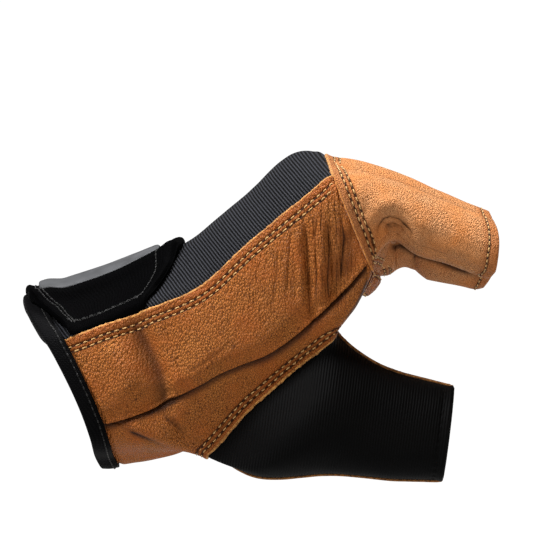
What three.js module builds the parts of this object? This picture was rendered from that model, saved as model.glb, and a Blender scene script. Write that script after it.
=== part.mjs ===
// Half-finger training glove for the left hand, in the shape that a relaxed hand gives it: stretch cloth over the
// back of the hand and of the thumb, leather down the index side, the palm, the thumb's pad and the four fingers,
// a bound cuff, and a wide closure tab over the back of the wrist.
//
// Millimetres, +Z up. +X runs from the cuff towards the finger tips, and +Y from the index finger to the little one.
// The origin is the centre of the wrist opening.
//
// The whole outside is one smooth skin, a Catmull-Clark surface over a net of four-sided faces. Rings of the net
// stand at the rows of the palm table, and the fingers and the thumb grow out of it as rings of their own. Each
// panel of the glove is a patch of that skin, given its thickness inwards.
import * as THREE from 'three';

// Driving sizes
const PALM_LENGTH = 110; // wrist edge to the finger seam, along the hand
const WRIST_DEPTH = 62; // height of the wrist opening, back to palm
const HAND_BREADTH = 92; // across the knuckles, outside
const FINGER_DEPTH = 21; // back to pad of a finger stall
const INDEX_LENGTH = 39; // web to open end, each finger
const MIDDLE_LENGTH = 40;
const RING_LENGTH = 35;
const LITTLE_LENGTH = 32;
const FINGER_GAP = 1.2; // between neighbouring stalls, past the web
const THUMB_LENGTH = 60; // thumb seam to the open end
const THUMB_WIDTH = 30.6; // across the thumb's open end
const THUMB_DEPTH = 25; // back to pad of the thumb's open end
const CLOTH_WALL = 1.5; // stretch cloth of the back and the thumb
const LEATHER_WALL = 1.5;
const LEATHER_PROUD = 0.6; // leather stands out past the cloth beside it
const SEAM_GAP = 0.5; // between the edges of two panels
const LAYER_GAP = 0.35; // between two layers that lie on each other
const BINDING_WALL = 1.0; // one leg of the folded cuff tape
const BINDING_WIDTH = 6.5;
const TAB_THICKNESS = 2.0; // closure tab
const TAB_HEM = 0.8; // how far the tab's two hems stand up past its middle
const PATCH_THICKNESS = 1.2; // rim of the moulded patch on the tab
const PATCH_CROWN = 2.4; // how far the patch's middle stands up past its rim
const PAD_THICKNESS = 2.6; // stitched pads under the palm
const FOLD_DEPTH = 2.2; // deepest dent in the leather of the index side

// Rows of the palm, from the wrist edge to the web. along and rise place the middle of the ring, as shares of
// PALM_LENGTH; tilt leans its top backwards, in degrees; depth is its half height, a share of half WRIST_DEPTH;
// breadth is its half breadth, a share of half HAND_BREADTH; scoop brings its two sides forward, a share of
// PALM_LENGTH. The rest are shares of the half height: seam is where cloth meets leather on the index side, fold
// the crease below it, under and palm the surface below, near the thumb and in mid palm. thenar says how far in,
// as a share of the half breadth, the near surface below has come. square makes the ring boxier than an ellipse,
// and arch lowers the little-finger side, a share of WRIST_DEPTH. The second ring is where the binding ends.
const PALM_ROWS = [
  { along: 0.000, rise: 0.000, tilt: 25, depth: 0.98, breadth: 0.74, scoop: 0.035, seam: 0.505, fold: 0.43, under: 0.70, palm: 1.00, thenar: 0.75, square: 2.0, arch: 0.00 },
  { along: BINDING_WIDTH / PALM_LENGTH, rise: 0.007, tilt: 24.7, depth: 0.987, breadth: 0.745, scoop: 0.030, seam: 0.535, fold: 0.43, under: 0.71, palm: 0.99, thenar: 0.75, square: 2.0, arch: 0.00 },
  { along: 0.150, rise: 0.0255, tilt: 22.6, depth: 0.992, breadth: 0.76, scoop: 0.012, seam: 0.565, fold: 0.42, under: 0.74, palm: 0.99, thenar: 0.76, square: 2.0, arch: 0.01 },
  { along: 0.255, rise: 0.0523, tilt: 18.6, depth: 1.023, breadth: 0.79, scoop: 0, seam: 0.585, fold: 0.38, under: 0.82, palm: 0.96, thenar: 0.76, square: 2.1, arch: 0.02 },
  { along: 0.351, rise: 0.0855, tilt: 15.2, depth: 1.07, breadth: 0.84, scoop: 0, seam: 0.57, fold: 0.31, under: 0.98, palm: 0.86, thenar: 0.60, square: 2.2, arch: 0.04 },
  { along: 0.453, rise: 0.171, tilt: 16, depth: 0.964, breadth: 0.89, scoop: 0, seam: 0.50, fold: 0.44, under: 1.00, palm: 0.72, thenar: 0.74, square: 2.3, arch: 0.06 },
  { along: 0.549, rise: 0.2564, tilt: 16.5, depth: 0.939, breadth: 0.94, scoop: 0, seam: 0.515, fold: 0.61, under: 1.00, palm: 0.64, thenar: 0.80, square: 2.4, arch: 0.08 },
  { along: 0.645, rise: 0.3405, tilt: 15.7, depth: 0.945, breadth: 0.98, scoop: 0, seam: 0.52, fold: 0.68, under: 1.00, palm: 0.62, thenar: 0.82, square: 2.5, arch: 0.10 },
  { along: 0.740, rise: 0.4237, tilt: 14.5, depth: 0.960, breadth: 1.00, scoop: 0, seam: 0.50, fold: 0.67, under: 1.00, palm: 0.74, thenar: 0.80, square: 2.6, arch: 0.11 },
  { along: 0.804, rise: 0.480, tilt: 15.3, depth: 0.81, breadth: 1.00, scoop: 0, seam: 0.58, fold: 0.76, under: 1.06, palm: 0.97, thenar: 0.80, square: 2.7, arch: 0.11 },
  { along: 0.850, rise: 0.532, tilt: 22, depth: 0.58, breadth: 0.98, scoop: 0, seam: 0.64, fold: 0.96, under: 1.16, palm: 1.22, thenar: 0.80, square: 2.7, arch: 0.11 },
];
const THUMB_ROWS = { first: 4, last: 8 }; // the thumb's opening in the palm spans these rows
const CLOTH_LAST_ROW = 10; // the back's cloth and the palm's leather end at the finger seam

// The web, where the palm turns into four stalls: its middle and tilt on the index finger, as in the table above.
const WEB = { along: 0.936, rise: 0.536, tilt: 24 };

// Fingers, from the index one. breadth is a share of HAND_BREADTH; depth and lift (of the stall's middle at the
// web, above the index finger's) are shares of FINGER_DEPTH; pitch and spread are its direction, in degrees.
const FINGERS = [
  { name: 'index_stall', length: INDEX_LENGTH, breadth: 0.252, depth: 1.00, lift: 0.00, pitch: -21, spread: -1.5 },
  { name: 'middle_stall', length: MIDDLE_LENGTH, breadth: 0.260, depth: 1.02, lift: 0.15, pitch: -22.5, spread: 0 },
  { name: 'ring_stall', length: RING_LENGTH, breadth: 0.254, depth: 0.98, lift: -0.42, pitch: -14.5, spread: 1 },
  { name: 'little_stall', length: LITTLE_LENGTH, breadth: 0.234, depth: 0.88, lift: -0.50, pitch: -15, spread: 3 },
];
// Rings of a stall: at is a share of its length past the web, tilt leans the ring's top back, and depth and width
// are shares of the stall's own. bulge moves the ring's sides forward, a share of the length.
const STALL_RINGS = [
  { at: 0.27, tilt: 8, depth: 1.10, width: 0.98, bulge: 0.00 },
  { at: 0.61, tilt: 0, depth: 1.00, width: 0.97, bulge: 0.00 },
  { at: 1.00, tilt: -7, depth: 0.96, width: 0.95, bulge: 0.06 },
];
const WEB_DEPTH = 1.2; // depth of a stall at the web, as a share of its own

// Rings of the thumb: at is a share of THUMB_LENGTH along its line, which starts in the middle of its opening in
// the palm; width and depth are shares of THUMB_WIDTH and THUMB_DEPTH; side is the ring's middle across the hand,
// a share of half HAND_BREADTH; drop is how far it sags below its line, a share of THUMB_LENGTH.
const THUMB_PITCH = -12;
const THUMB_RINGS = [
  { at: 0.205, tilt: -38, width: 1.72, depth: 1.42, side: -0.60, drop: 0.142 },
  { at: 0.490, tilt: -33, width: 1.33, depth: 1.18, side: -0.64, drop: 0.132 },
  { at: 0.765, tilt: -20, width: 1.13, depth: 1.04, side: -0.65, drop: 0.113 },
  { at: 1.000, tilt: -7, width: 1.00, depth: 1.00, side: -0.65, drop: 0.090 },
];

// Dents in the leather of the index side, and the sunk seam at its lower edge, each along a line seen from that
// side: from and to are shares of PALM_LENGTH along X and Z, width is one too, and depth is a share of FOLD_DEPTH.
const FOLDS = [
  { fromX: 0.27, fromZ: 0.20, toX: 0.33, toZ: 0.00, width: 0.062, depth: 1.0 },
  { fromX: 0.72, fromZ: 0.50, toX: 0.72, toZ: 0.26, width: 0.040, depth: 0.8 },
  { fromX: 0.79, fromZ: 0.54, toX: 0.80, toZ: 0.28, width: 0.036, depth: 0.7 },
  { fromX: 0.97, fromZ: 0.42, toX: 1.00, toZ: 0.50, width: 0.045, depth: 0.8 },
  { fromX: 0.12, fromZ: -0.10, toX: 0.42, toZ: 0.02, width: 0.030, depth: 0.5 },
  { fromX: 0.42, fromZ: 0.02, toX: 0.60, toZ: 0.10, width: 0.030, depth: 0.5 },
  { fromX: 0.60, fromZ: 0.10, toX: 0.90, toZ: 0.37, width: 0.030, depth: 0.5 },
];

const DEGREE = Math.PI / 180;
const ACROSS = new THREE.Vector3(0, 1, 0);

// Where the rings' points stand
// A ring of the palm has 20 points: 0 on the index side, 1 to 9 over the back, 10 on the little-finger side, and
// 11 to 19 back under the palm. Points 3, 5 and 7 lie between two fingers, and so do 17, 15 and 13 below.
const RING = 20;
const BACK_FIRST = 1;
const BACK_LAST = 9;
const SHOULDER = 0.93; // how far out the back's first and last points lie
const mirrored = (k) => RING - k; // the point under point k

const edges = FINGERS.reduce((list, f) => [...list, list.at(-1) + 2 * f.breadth], [-1]);
const lateral = [];
FINGERS.forEach((f, i) => lateral.push(edges[i], (edges[i] + edges[i + 1]) / 2));
lateral.push(edges.at(-1));
lateral[0] = -SHOULDER;
lateral[lateral.length - 1] = SHOULDER;

function frameOf(row) {
  const up = new THREE.Vector3(-Math.sin(row.tilt * DEGREE), 0, Math.cos(row.tilt * DEGREE));
  const middle = new THREE.Vector3(row.along * PALM_LENGTH, 0, row.rise * PALM_LENGTH);
  return { middle, up };
}

// A point of a ring, from its shares across and up, less what the arch takes off towards the little finger.
function palmPoint(row, across, up) {
  const frame = frameOf(row);
  const lean = Math.max(0, (across + 0.3) / 1.3);
  const drop = row.arch * WRIST_DEPTH * lean * lean;
  frame.middle.x += row.scoop * PALM_LENGTH * Math.abs(across) ** 3;
  return frame.middle
    .addScaledVector(ACROSS, across * row.breadth * HAND_BREADTH / 2)
    .addScaledVector(frame.up, up * row.depth * WRIST_DEPTH / 2 - drop);
}

function palmRing(row) {
  const crown = (a) => (1 - Math.abs(a) ** row.square) ** (1 / row.square);
  const points = new Array(RING);
  points[0] = palmPoint(row, -1, 0);
  points[RING / 2] = palmPoint(row, 1, 0);
  lateral.forEach((a, j) => {
    const back = j === 0 ? row.seam : crown(a);
    let across = a;
    let below = row.palm * crown(a);
    if (j === 0) below = row.fold;
    if (j === 1) [across, below] = [-row.thenar, row.under];
    if (j === 2) {
      across = a * 0.85;
      below = (row.under + row.palm) / 2;
    }
    points[j + 1] = palmPoint(row, a, back);
    points[mirrored(j + 1)] = palmPoint(row, across, -below);
  });
  return points;
}

// The net
const net = { points: [], faces: [] };
const add = (point) => net.points.push(point) - 1;

// Joins two rings of point numbers. part names the patch of each column, or is null for a hole.
function join(from, to, part) {
  from.forEach((_, k) => {
    const next = (k + 1) % from.length;
    const name = part(k);
    if (name) net.faces.push({ corners: [from[k], to[k], to[next], from[next]], part: name });
  });
}

const rings = PALM_ROWS.map((row) => palmRing(row).map(add));
const NEAR_BORDER = mirrored(2); // the thumb's opening lies between these two points of its rows
const FAR_BORDER = mirrored(4);

function isThumbHole(row, k) {
  return row >= THUMB_ROWS.first && row < THUMB_ROWS.last && k >= FAR_BORDER && k < NEAR_BORDER;
}

// Cloth over the back, a strip of leather down the index side as far as the fold, and leather under the palm.
function panelOf(k) {
  if (k >= BACK_FIRST && k < BACK_LAST) return 'back_cloth';
  return k < BACK_FIRST || k >= mirrored(1) ? 'side_leather' : 'palm_leather';
}

function buildPalm() {
  for (let row = 0; row < CLOTH_LAST_ROW; row++) {
    join(rings[row], rings[row + 1], (k) => (isThumbHole(row, k) ? null : panelOf(k)));
  }
}

// The web ring shares the points between two neighbouring stalls, so the stalls' first rings meet there.
function stallFrame(finger, index) {
  const frame = frameOf(WEB);
  const y = (edges[index] + edges[index + 1]) / 2 * HAND_BREADTH / 2;
  const middle = frame.middle.addScaledVector(ACROSS, y).addScaledVector(frame.up, finger.lift * FINGER_DEPTH);
  const direction = new THREE.Vector3(
    Math.cos(finger.pitch * DEGREE) * Math.cos(finger.spread * DEGREE),
    Math.sin(finger.spread * DEGREE),
    Math.sin(finger.pitch * DEGREE) * Math.cos(finger.spread * DEGREE));
  return { middle, up: frame.up, direction };
}

function buildFingers() {
  const corner = Math.SQRT1_2;
  const frames = FINGERS.map(stallFrame);
  const web = new Array(RING);
  const halfDepth = FINGERS.map((f) => f.depth * WEB_DEPTH * FINGER_DEPTH / 2);
  const at = (i, y, up) => frames[i].middle.clone().setY(y).addScaledVector(frames[i].up, up * halfDepth[i]);
  const border = (i, up) => {
    const y = edges[i] * HAND_BREADTH / 2;
    if (i === 0) return at(0, y * (up ? SHOULDER : 1), up);
    if (i === FINGERS.length) return at(i - 1, y * (up ? SHOULDER : 1), up);
    return at(i - 1, y, up).lerp(at(i, y, up), 0.5);
  };
  const middleOf = (i) => (edges[i] + edges[i + 1]) / 2 * HAND_BREADTH / 2;
  FINGERS.forEach((f, i) => {
    web[2 * i + 1] = border(i, i ? 0.62 : corner);
    web[2 * i + 2] = at(i, middleOf(i), 1);
    web[mirrored(2 * i + 1)] = border(i, i ? -0.62 : -corner);
    web[mirrored(2 * i + 2)] = at(i, middleOf(i), -1);
  });
  const count = FINGERS.length;
  web[2 * count + 1] = border(count, corner);
  web[mirrored(2 * count + 1)] = border(count, -corner);
  web[0] = border(0, 0);
  web[RING / 2] = border(count, 0);
  const webRing = web.map(add);
  const crotches = [webRing[0]];
  for (let i = 1; i < count; i++) crotches.push(add(border(i, 0)));
  crotches.push(webRing[RING / 2]);

  // The band from the finger seam to the web: each stall has the columns above and below it.
  const owner = (k) => {
    const column = k < RING / 2 ? k : RING - 1 - k;
    return FINGERS[Math.min(count - 1, Math.max(0, Math.floor((column - 1) / 2)))].name;
  };
  join(rings[CLOTH_LAST_ROW], webRing, owner);

  FINGERS.forEach((finger, i) => {
    const first = 2 * i + 1;
    let ring = [
      crotches[i], webRing[first], webRing[first + 1], webRing[first + 2],
      crotches[i + 1], webRing[mirrored(first + 2)], webRing[mirrored(first + 1)], webRing[mirrored(first)],
    ];
    const halfWidth = (finger.breadth * HAND_BREADTH - FINGER_GAP) / 2;
    for (const shape of STALL_RINGS) {
      const up = new THREE.Vector3(-Math.sin(shape.tilt * DEGREE), 0, Math.cos(shape.tilt * DEGREE));
      const middle = frames[i].middle.clone()
        .addScaledVector(frames[i].direction, shape.at * finger.length);
      const next = ring.map((_, k) => {
        const angle = Math.PI - k * Math.PI / 4;
        return middle.clone()
          .addScaledVector(ACROSS, Math.cos(angle) * halfWidth * shape.width)
          .addScaledVector(up, Math.sin(angle) * finger.depth * FINGER_DEPTH / 2 * shape.depth)
          .addScaledVector(frames[i].direction, Math.abs(Math.cos(angle)) * shape.bulge * finger.length);
      }).map(add);
      join(ring, next, () => finger.name);
      ring = next;
    }
  });
}

function buildThumb() {
  const near = [];
  const far = [];
  for (let row = THUMB_ROWS.first; row <= THUMB_ROWS.last; row++) {
    near.push(rings[row][NEAR_BORDER]);
    far.unshift(rings[row][FAR_BORDER]);
  }
  const between = NEAR_BORDER - 1;
  let ring = [...near, rings[THUMB_ROWS.last][between], ...far, rings[THUMB_ROWS.first][between]];
  const root = ring.reduce((sum, i) => sum.add(net.points[i]), new THREE.Vector3()).divideScalar(ring.length);
  const line = new THREE.Vector3(Math.cos(THUMB_PITCH * DEGREE), 0, Math.sin(THUMB_PITCH * DEGREE));
  const step = 2 * Math.PI / ring.length;
  for (const shape of THUMB_RINGS) {
    const up = new THREE.Vector3(-Math.sin(shape.tilt * DEGREE), 0, Math.cos(shape.tilt * DEGREE));
    const middle = root.clone().addScaledVector(line, shape.at * THUMB_LENGTH);
    middle.y = shape.side * HAND_BREADTH / 2;
    middle.z -= shape.drop * THUMB_LENGTH;
    const next = ring.map((_, k) => {
      const angle = (k + 1) * step - Math.PI / 2;
      return middle.clone()
        .addScaledVector(up, Math.sin(angle) * shape.width * THUMB_WIDTH / 2)
        .addScaledVector(ACROSS, -Math.cos(angle) * shape.depth * THUMB_DEPTH / 2);
    }).map(add);
    // The near half, from the under edge (last point) to the upper one, is cloth, and the far half leather.
    const last = ring.length - 1;
    join(ring, next, (k) => (k < ring.length / 2 - 1 || k === last ? 'thumb_cloth' : 'thumb_leather'));
    ring = next;
  }
}

buildPalm();
buildFingers();
buildThumb();

// Catmull-Clark
const edgeKey = (a, b) => (a < b ? `${a},${b}` : `${b},${a}`);

function topology(mesh) {
  const lines = new Map();
  const around = mesh.points.map(() => ({ faces: [], lines: [] }));
  mesh.faces.forEach((face, f) => {
    face.corners.forEach((a, i) => {
      const b = face.corners[(i + 1) % 4];
      const key = edgeKey(a, b);
      if (!lines.has(key)) {
        lines.set(key, { ends: [a, b], faces: [] });
        around[a].lines.push(key);
        around[b].lines.push(key);
      }
      lines.get(key).faces.push(f);
      around[a].faces.push(f);
    });
  });
  return { lines, around };
}

const average = (points) => points.reduce((sum, p) => sum.add(p), new THREE.Vector3()).divideScalar(points.length);

function refine(mesh) {
  const { points, faces } = mesh;
  const { lines, around } = topology(mesh);
  const centres = faces.map((face) => average(face.corners.map((i) => points[i])));
  const next = { points: [], faces: [], middles: new Map() };
  const rimLines = (i) => around[i].lines.filter((key) => lines.get(key).faces.length === 1);
  const otherEnd = (key, i) => lines.get(key).ends.find((end) => end !== i);
  points.forEach((p, i) => {
    const rim = rimLines(i);
    if (rim.length) {
      const sides = average(rim.map((key) => points[otherEnd(key, i)]));
      next.points.push(p.clone().multiplyScalar(0.75).addScaledVector(sides, 0.25));
      return;
    }
    const n = around[i].lines.length;
    const faceMean = average(around[i].faces.map((f) => centres[f]));
    const lineMean = average(around[i].lines.map((key) => average(lines.get(key).ends.map((end) => points[end]))));
    next.points.push(p.clone().multiplyScalar(n - 3).add(faceMean).addScaledVector(lineMean, 2).divideScalar(n));
  });
  for (const [key, line] of lines) {
    const ends = line.ends.map((end) => points[end]);
    const onRim = line.faces.length === 1;
    const p = average(onRim ? ends : [...ends, ...line.faces.map((f) => centres[f])]);
    next.middles.set(key, next.points.push(p) - 1);
  }
  faces.forEach((face, f) => {
    const centre = next.points.push(centres[f]) - 1;
    next.middles.set(edgeKey(face.corners[0], face.corners[2]), centre);
    face.corners.forEach((a, i) => {
      const before = next.middles.get(edgeKey(face.corners[(i + 3) % 4], a));
      const after = next.middles.get(edgeKey(a, face.corners[(i + 1) % 4]));
      next.faces.push({ corners: [a, after, centre, before], part: face.part });
    });
  });
  return next;
}

// Where each point of the net goes when it is refined without end.
function limit(mesh) {
  const { points, faces } = mesh;
  const { lines, around } = topology(mesh);
  return points.map((p, i) => {
    const rim = around[i].lines.filter((key) => lines.get(key).faces.length === 1);
    const other = (key) => points[lines.get(key).ends.find((end) => end !== i)];
    if (rim.length) {
      return rim.reduce((sum, key) => sum.add(other(key)), p.clone().multiplyScalar(4)).divideScalar(4 + rim.length);
    }
    const n = around[i].lines.length;
    const sum = p.clone().multiplyScalar(n * n);
    around[i].lines.forEach((key) => sum.addScaledVector(other(key), 4));
    around[i].faces.forEach((f) => {
      const corners = faces[f].corners;
      sum.add(points[corners[(corners.indexOf(i) + 2) % 4]]);
    });
    return sum.divideScalar(n * (n + 5));
  });
}

// Moves the net's points out until its smooth skin passes through the points that the tables give.
const FIT_ROUNDS = 12;
function fitToTables(mesh) {
  const wanted = mesh.points.map((p) => p.clone());
  for (let round = 0; round < FIT_ROUNDS; round++) {
    limit(mesh).forEach((p, i) => mesh.points[i].add(wanted[i]).sub(p));
  }
}

function normalsOf(mesh) {
  const normals = mesh.points.map(() => new THREE.Vector3());
  for (const { corners } of mesh.faces) {
    const [a, b, c, d] = corners.map((i) => mesh.points[i]);
    const normal = c.clone().sub(a).cross(d.clone().sub(b));
    corners.forEach((i) => normals[i].add(normal));
  }
  return normals.map((n) => n.normalize());
}

// Presses the folds of the table into the skin on the index side.
function pressFolds(mesh) {
  const normals = normalsOf(mesh);
  mesh.points.forEach((p, i) => {
    const facing = Math.max(0, -normals[i].y);
    for (const fold of FOLDS) {
      const from = new THREE.Vector2(fold.fromX, fold.fromZ).multiplyScalar(PALM_LENGTH);
      const to = new THREE.Vector2(fold.toX, fold.toZ).multiplyScalar(PALM_LENGTH);
      const run = to.clone().sub(from);
      const here = new THREE.Vector2(p.x, p.z).sub(from);
      const t = THREE.MathUtils.clamp(here.dot(run) / run.lengthSq(), 0, 1);
      const away = here.addScaledVector(run, -t).length() / (fold.width * PALM_LENGTH);
      const ends = Math.min(1, 4 * t * (1 - t) + 0.25);
      p.addScaledVector(normals[i], -fold.depth * FOLD_DEPTH * ends * facing * Math.exp(-away * away));
    }
  });
}

fitToTables(net);
const skin = refine(net);
skin.points = limit(skin);
pressFolds(skin);
const skinNormals = normalsOf(skin);

// Solids from patches of the skin
function solidFrom(points, faces) {
  const position = [];
  for (const face of faces) {
    const [a, b, c, d] = face.map((i) => points[i]);
    const quad = a.distanceTo(c) <= b.distanceTo(d) ? [a, b, c, a, c, d] : [a, b, d, b, c, d];
    quad.forEach((p) => position.push(p.x, p.y, p.z));
  }
  const geometry = new THREE.BufferGeometry();
  geometry.setAttribute('position', new THREE.Float32BufferAttribute(position, 3));
  geometry.computeVertexNormals();
  return geometry;
}

// The rim of a patch, as a map from each rim point to the one after it, with the patch on the left.
function rimOf(faces) {
  const after = new Map();
  const seen = new Set();
  faces.forEach((face) => face.corners.forEach((a, i) => seen.add(`${a},${face.corners[(i + 1) % 4]}`)));
  faces.forEach((face) => face.corners.forEach((a, i) => {
    const b = face.corners[(i + 1) % 4];
    if (!seen.has(`${b},${a}`)) after.set(a, b);
  }));
  return after;
}

// A wall on a patch of the skin, from its outside at a height of outer to its inside at inner, both from the skin
// and each a number or a function of the point. The rim is drawn in by trim.
function wall(faces, outer, inner, trim = SEAM_GAP / 2) {
  const heightOf = (height, i) => (typeof height === 'function' ? height(i) : height);
  const used = [...new Set(faces.flatMap((face) => face.corners))];
  const after = rimOf(faces);
  const before = new Map([...after].map(([a, b]) => [b, a]));
  const inward = (a, b, at) => skinNormals[at].clone().cross(skin.points[b].clone().sub(skin.points[a])).normalize();
  const place = new Map();
  const points = [];
  for (const i of used) {
    const base = skin.points[i].clone();
    if (after.has(i)) {
      const first = inward(before.get(i), i, i);
      const second = inward(i, after.get(i), i);
      base.addScaledVector(first.clone().add(second), trim / Math.max(0.5, 1 + first.dot(second)));
    }
    place.set(i, points.length);
    points.push(base.clone().addScaledVector(skinNormals[i], heightOf(outer, i)));
    points.push(base.clone().addScaledVector(skinNormals[i], heightOf(inner, i)));
  }
  const quads = [];
  for (const { corners } of faces) {
    const outside = corners.map((i) => place.get(i));
    quads.push(outside, outside.map((n) => n + 1).reverse());
  }
  for (const [a, b] of after) quads.push([place.get(b), place.get(a), place.get(a) + 1, place.get(b) + 1]);
  return solidFrom(points, quads);
}

// The palm's skin as a grid of half rows and half columns. The thumb's opening leaves places without a point.
function gridPoint(row, column) {
  const low = [Math.floor(row), Math.floor(column) % RING];
  const high = [Math.ceil(row), Math.ceil(column) % RING];
  const ends = [rings[low[0]][low[1]], rings[high[0]][high[1]]];
  return ends[0] === ends[1] ? ends[0] : skin.middles.get(edgeKey(...ends));
}

function skinRow(row) {
  return Array.from({ length: 2 * RING }, (_, k) => gridPoint(row, k / 2));
}

// The point and the normal of the palm's skin at any row and column, from the four grid points round it.
function skinAt(row, column) {
  const low = [Math.min(Math.floor(row * 2), 2 * CLOTH_LAST_ROW - 1) / 2, Math.floor(column * 2) / 2];
  const share = [(row - low[0]) * 2, (column - low[1]) * 2];
  const point = new THREE.Vector3();
  const normal = new THREE.Vector3();
  for (const [i, j] of [[0, 0], [0, 1], [1, 0], [1, 1]]) {
    const weight = (i ? share[0] : 1 - share[0]) * (j ? share[1] : 1 - share[1]);
    const corner = gridPoint(low[0] + i / 2, low[1] + j / 2);
    point.addScaledVector(skin.points[corner], weight);
    normal.addScaledVector(skinNormals[corner], weight);
  }
  return { point, normal: normal.normalize() };
}

const raised = (place, height) => place.point.clone().addScaledVector(place.normal, height);

// A layer that lies on the palm's skin. Both lists give shares of its length and of its breadth, and place turns
// two shares into a row and a column. under and over give the heights of its two faces.
function layer(alongSteps, acrossSteps, place, under, over) {
  const points = [];
  for (const s of alongSteps) {
    for (const t of acrossSteps) {
      const at = skinAt(...place(s, t));
      points.push(raised(at, over(s, t)), raised(at, under(s, t)));
    }
  }
  const top = (i, j) => 2 * (i * acrossSteps.length + j);
  const quads = [];
  const lastAlong = alongSteps.length - 1;
  const lastAcross = acrossSteps.length - 1;
  for (let i = 0; i < lastAlong; i++) {
    for (let j = 0; j < lastAcross; j++) {
      const face = [top(i, j), top(i + 1, j), top(i + 1, j + 1), top(i, j + 1)];
      quads.push(face, face.map((n) => n + 1).reverse());
    }
    quads.push([top(i + 1, 0), top(i, 0), top(i, 0) + 1, top(i + 1, 0) + 1]);
    quads.push([top(i, lastAcross), top(i + 1, lastAcross), top(i + 1, lastAcross) + 1, top(i, lastAcross) + 1]);
  }
  for (let j = 0; j < lastAcross; j++) {
    quads.push([top(0, j), top(0, j + 1), top(0, j + 1) + 1, top(0, j) + 1]);
    quads.push([top(lastAlong, j + 1), top(lastAlong, j), top(lastAlong, j) + 1, top(lastAlong, j + 1) + 1]);
  }
  return solidFrom(points, quads);
}

// Reads a table by linear steps: the value of name where the table's key is x.
function lookUp(table, key, x, name) {
  const next = Math.max(1, table.findIndex((row) => row[key] >= x));
  const [a, b] = [table[next - 1], table[next]];
  return THREE.MathUtils.mapLinear(THREE.MathUtils.clamp(x, a[key], b[key]), a[key], b[key], a[name], b[name]);
}

// Cuff binding: tape folded round the wrist edge of cloth and leather, with one leg outside and one inside
const BINDING_TOP = LAYER_GAP + BINDING_WALL; // height of its outer leg's face over the skin
const BINDING_FLOOR = -CLOTH_WALL - LAYER_GAP; // height of its inner leg's upper face

function binding() {
  const section = [
    [1, 0, BINDING_TOP],
    [1, 0, LAYER_GAP],
    [0, LAYER_GAP, LAYER_GAP],
    [0, LAYER_GAP, BINDING_FLOOR],
    [1, 0, BINDING_FLOOR],
    [1, 0, BINDING_FLOOR - BINDING_WALL],
    [0, LAYER_GAP, BINDING_FLOOR - BINDING_WALL],
    [0, LAYER_GAP + BINDING_WALL, BINDING_FLOOR],
    [0, LAYER_GAP + BINDING_WALL, LAYER_GAP],
    [0, LAYER_GAP, BINDING_TOP],
  ];
  const points = [];
  const count = 2 * RING;
  for (let k = 0; k < count; k++) {
    const edge = skinAt(0, k / 2);
    const end = skinAt(1, k / 2);
    const outward = edge.point.clone().sub(end.point).normalize();
    for (const [row, past, height] of section) {
      points.push(raised(row ? end : edge, height).addScaledVector(outward, past));
    }
  }
  const quads = [];
  for (let k = 0; k < count; k++) {
    section.forEach((_, i) => {
      const [here, next] = [k * section.length, (k + 1) % count * section.length];
      const after = (i + 1) % section.length;
      quads.push([here + i, here + after, next + after, next + i]);
    });
  }
  return solidFrom(points, quads);
}

// Closure tab: from under the leather's seam on the index side, over the crest of the wrist, to the far side. Its
// sections give, at a column of the palm's rings, the rows where the tab begins and ends, and its thickness as a
// share of TAB_THICKNESS. Its profile gives the hem's rise, a share of TAB_HEM, from the cuff's side to the hand's.
const TAB_SECTIONS = [
  { column: 1.07, first: 1.15, last: 3.45, thickness: 0.35 },
  { column: 1.50, first: 1.08, last: 3.65, thickness: 0.85 },
  { column: 2.10, first: 1.00, last: 3.95, thickness: 1.00 },
  { column: 2.70, first: 0.75, last: 4.45, thickness: 1.00 },
  { column: 3.30, first: 0.10, last: 4.75, thickness: 1.00 },
  { column: 4.00, first: 0.00, last: 4.85, thickness: 1.00 },
  { column: 6.00, first: 0.00, last: 4.85, thickness: 1.00 },
  { column: 7.40, first: 0.10, last: 4.70, thickness: 1.00 },
  { column: 8.60, first: 0.50, last: 4.30, thickness: 0.90 },
];
const TAB_PROFILE = [
  { at: 0, rise: 0.55 },
  { at: 0.05, rise: 1 },
  { at: 0.12, rise: 0.1 },
  { at: 0.24, rise: 0 },
  { at: 0.36, rise: 0 },
  { at: 0.50, rise: 0 },
  { at: 0.64, rise: 0 },
  { at: 0.78, rise: 0 },
  { at: 0.88, rise: 0.1 },
  { at: 0.95, rise: 1 },
  { at: 1, rise: 0.55 },
];
const TAB_SPAN = [TAB_SECTIONS[0].column, TAB_SECTIONS.at(-1).column];
const TAB_STRIPS = 16;
const TAB_STEPS = Array.from({ length: TAB_STRIPS + 1 }, (_, i) => i / TAB_STRIPS);

const tabColumn = (t) => THREE.MathUtils.lerp(...TAB_SPAN, t);
const tabSection = (t, name) => lookUp(TAB_SECTIONS, 'column', tabColumn(t), name);

function tabPlace(s, t) {
  return [THREE.MathUtils.lerp(tabSection(t, 'first'), tabSection(t, 'last'), s), tabColumn(t)];
}

// The tab passes over the binding near the wrist edge, and lies on the cloth past it.
function tabUnder(s, t) {
  const [row] = tabPlace(s, t);
  return LAYER_GAP + BINDING_TOP * (1 - THREE.MathUtils.smoothstep(row, 1.08, 1.7));
}

function tabOver(s, t) {
  const hem = TAB_HEM * lookUp(TAB_PROFILE, 'at', s, 'rise');
  return tabUnder(s, t) + (TAB_THICKNESS + hem) * tabSection(t, 'thickness');
}

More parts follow.
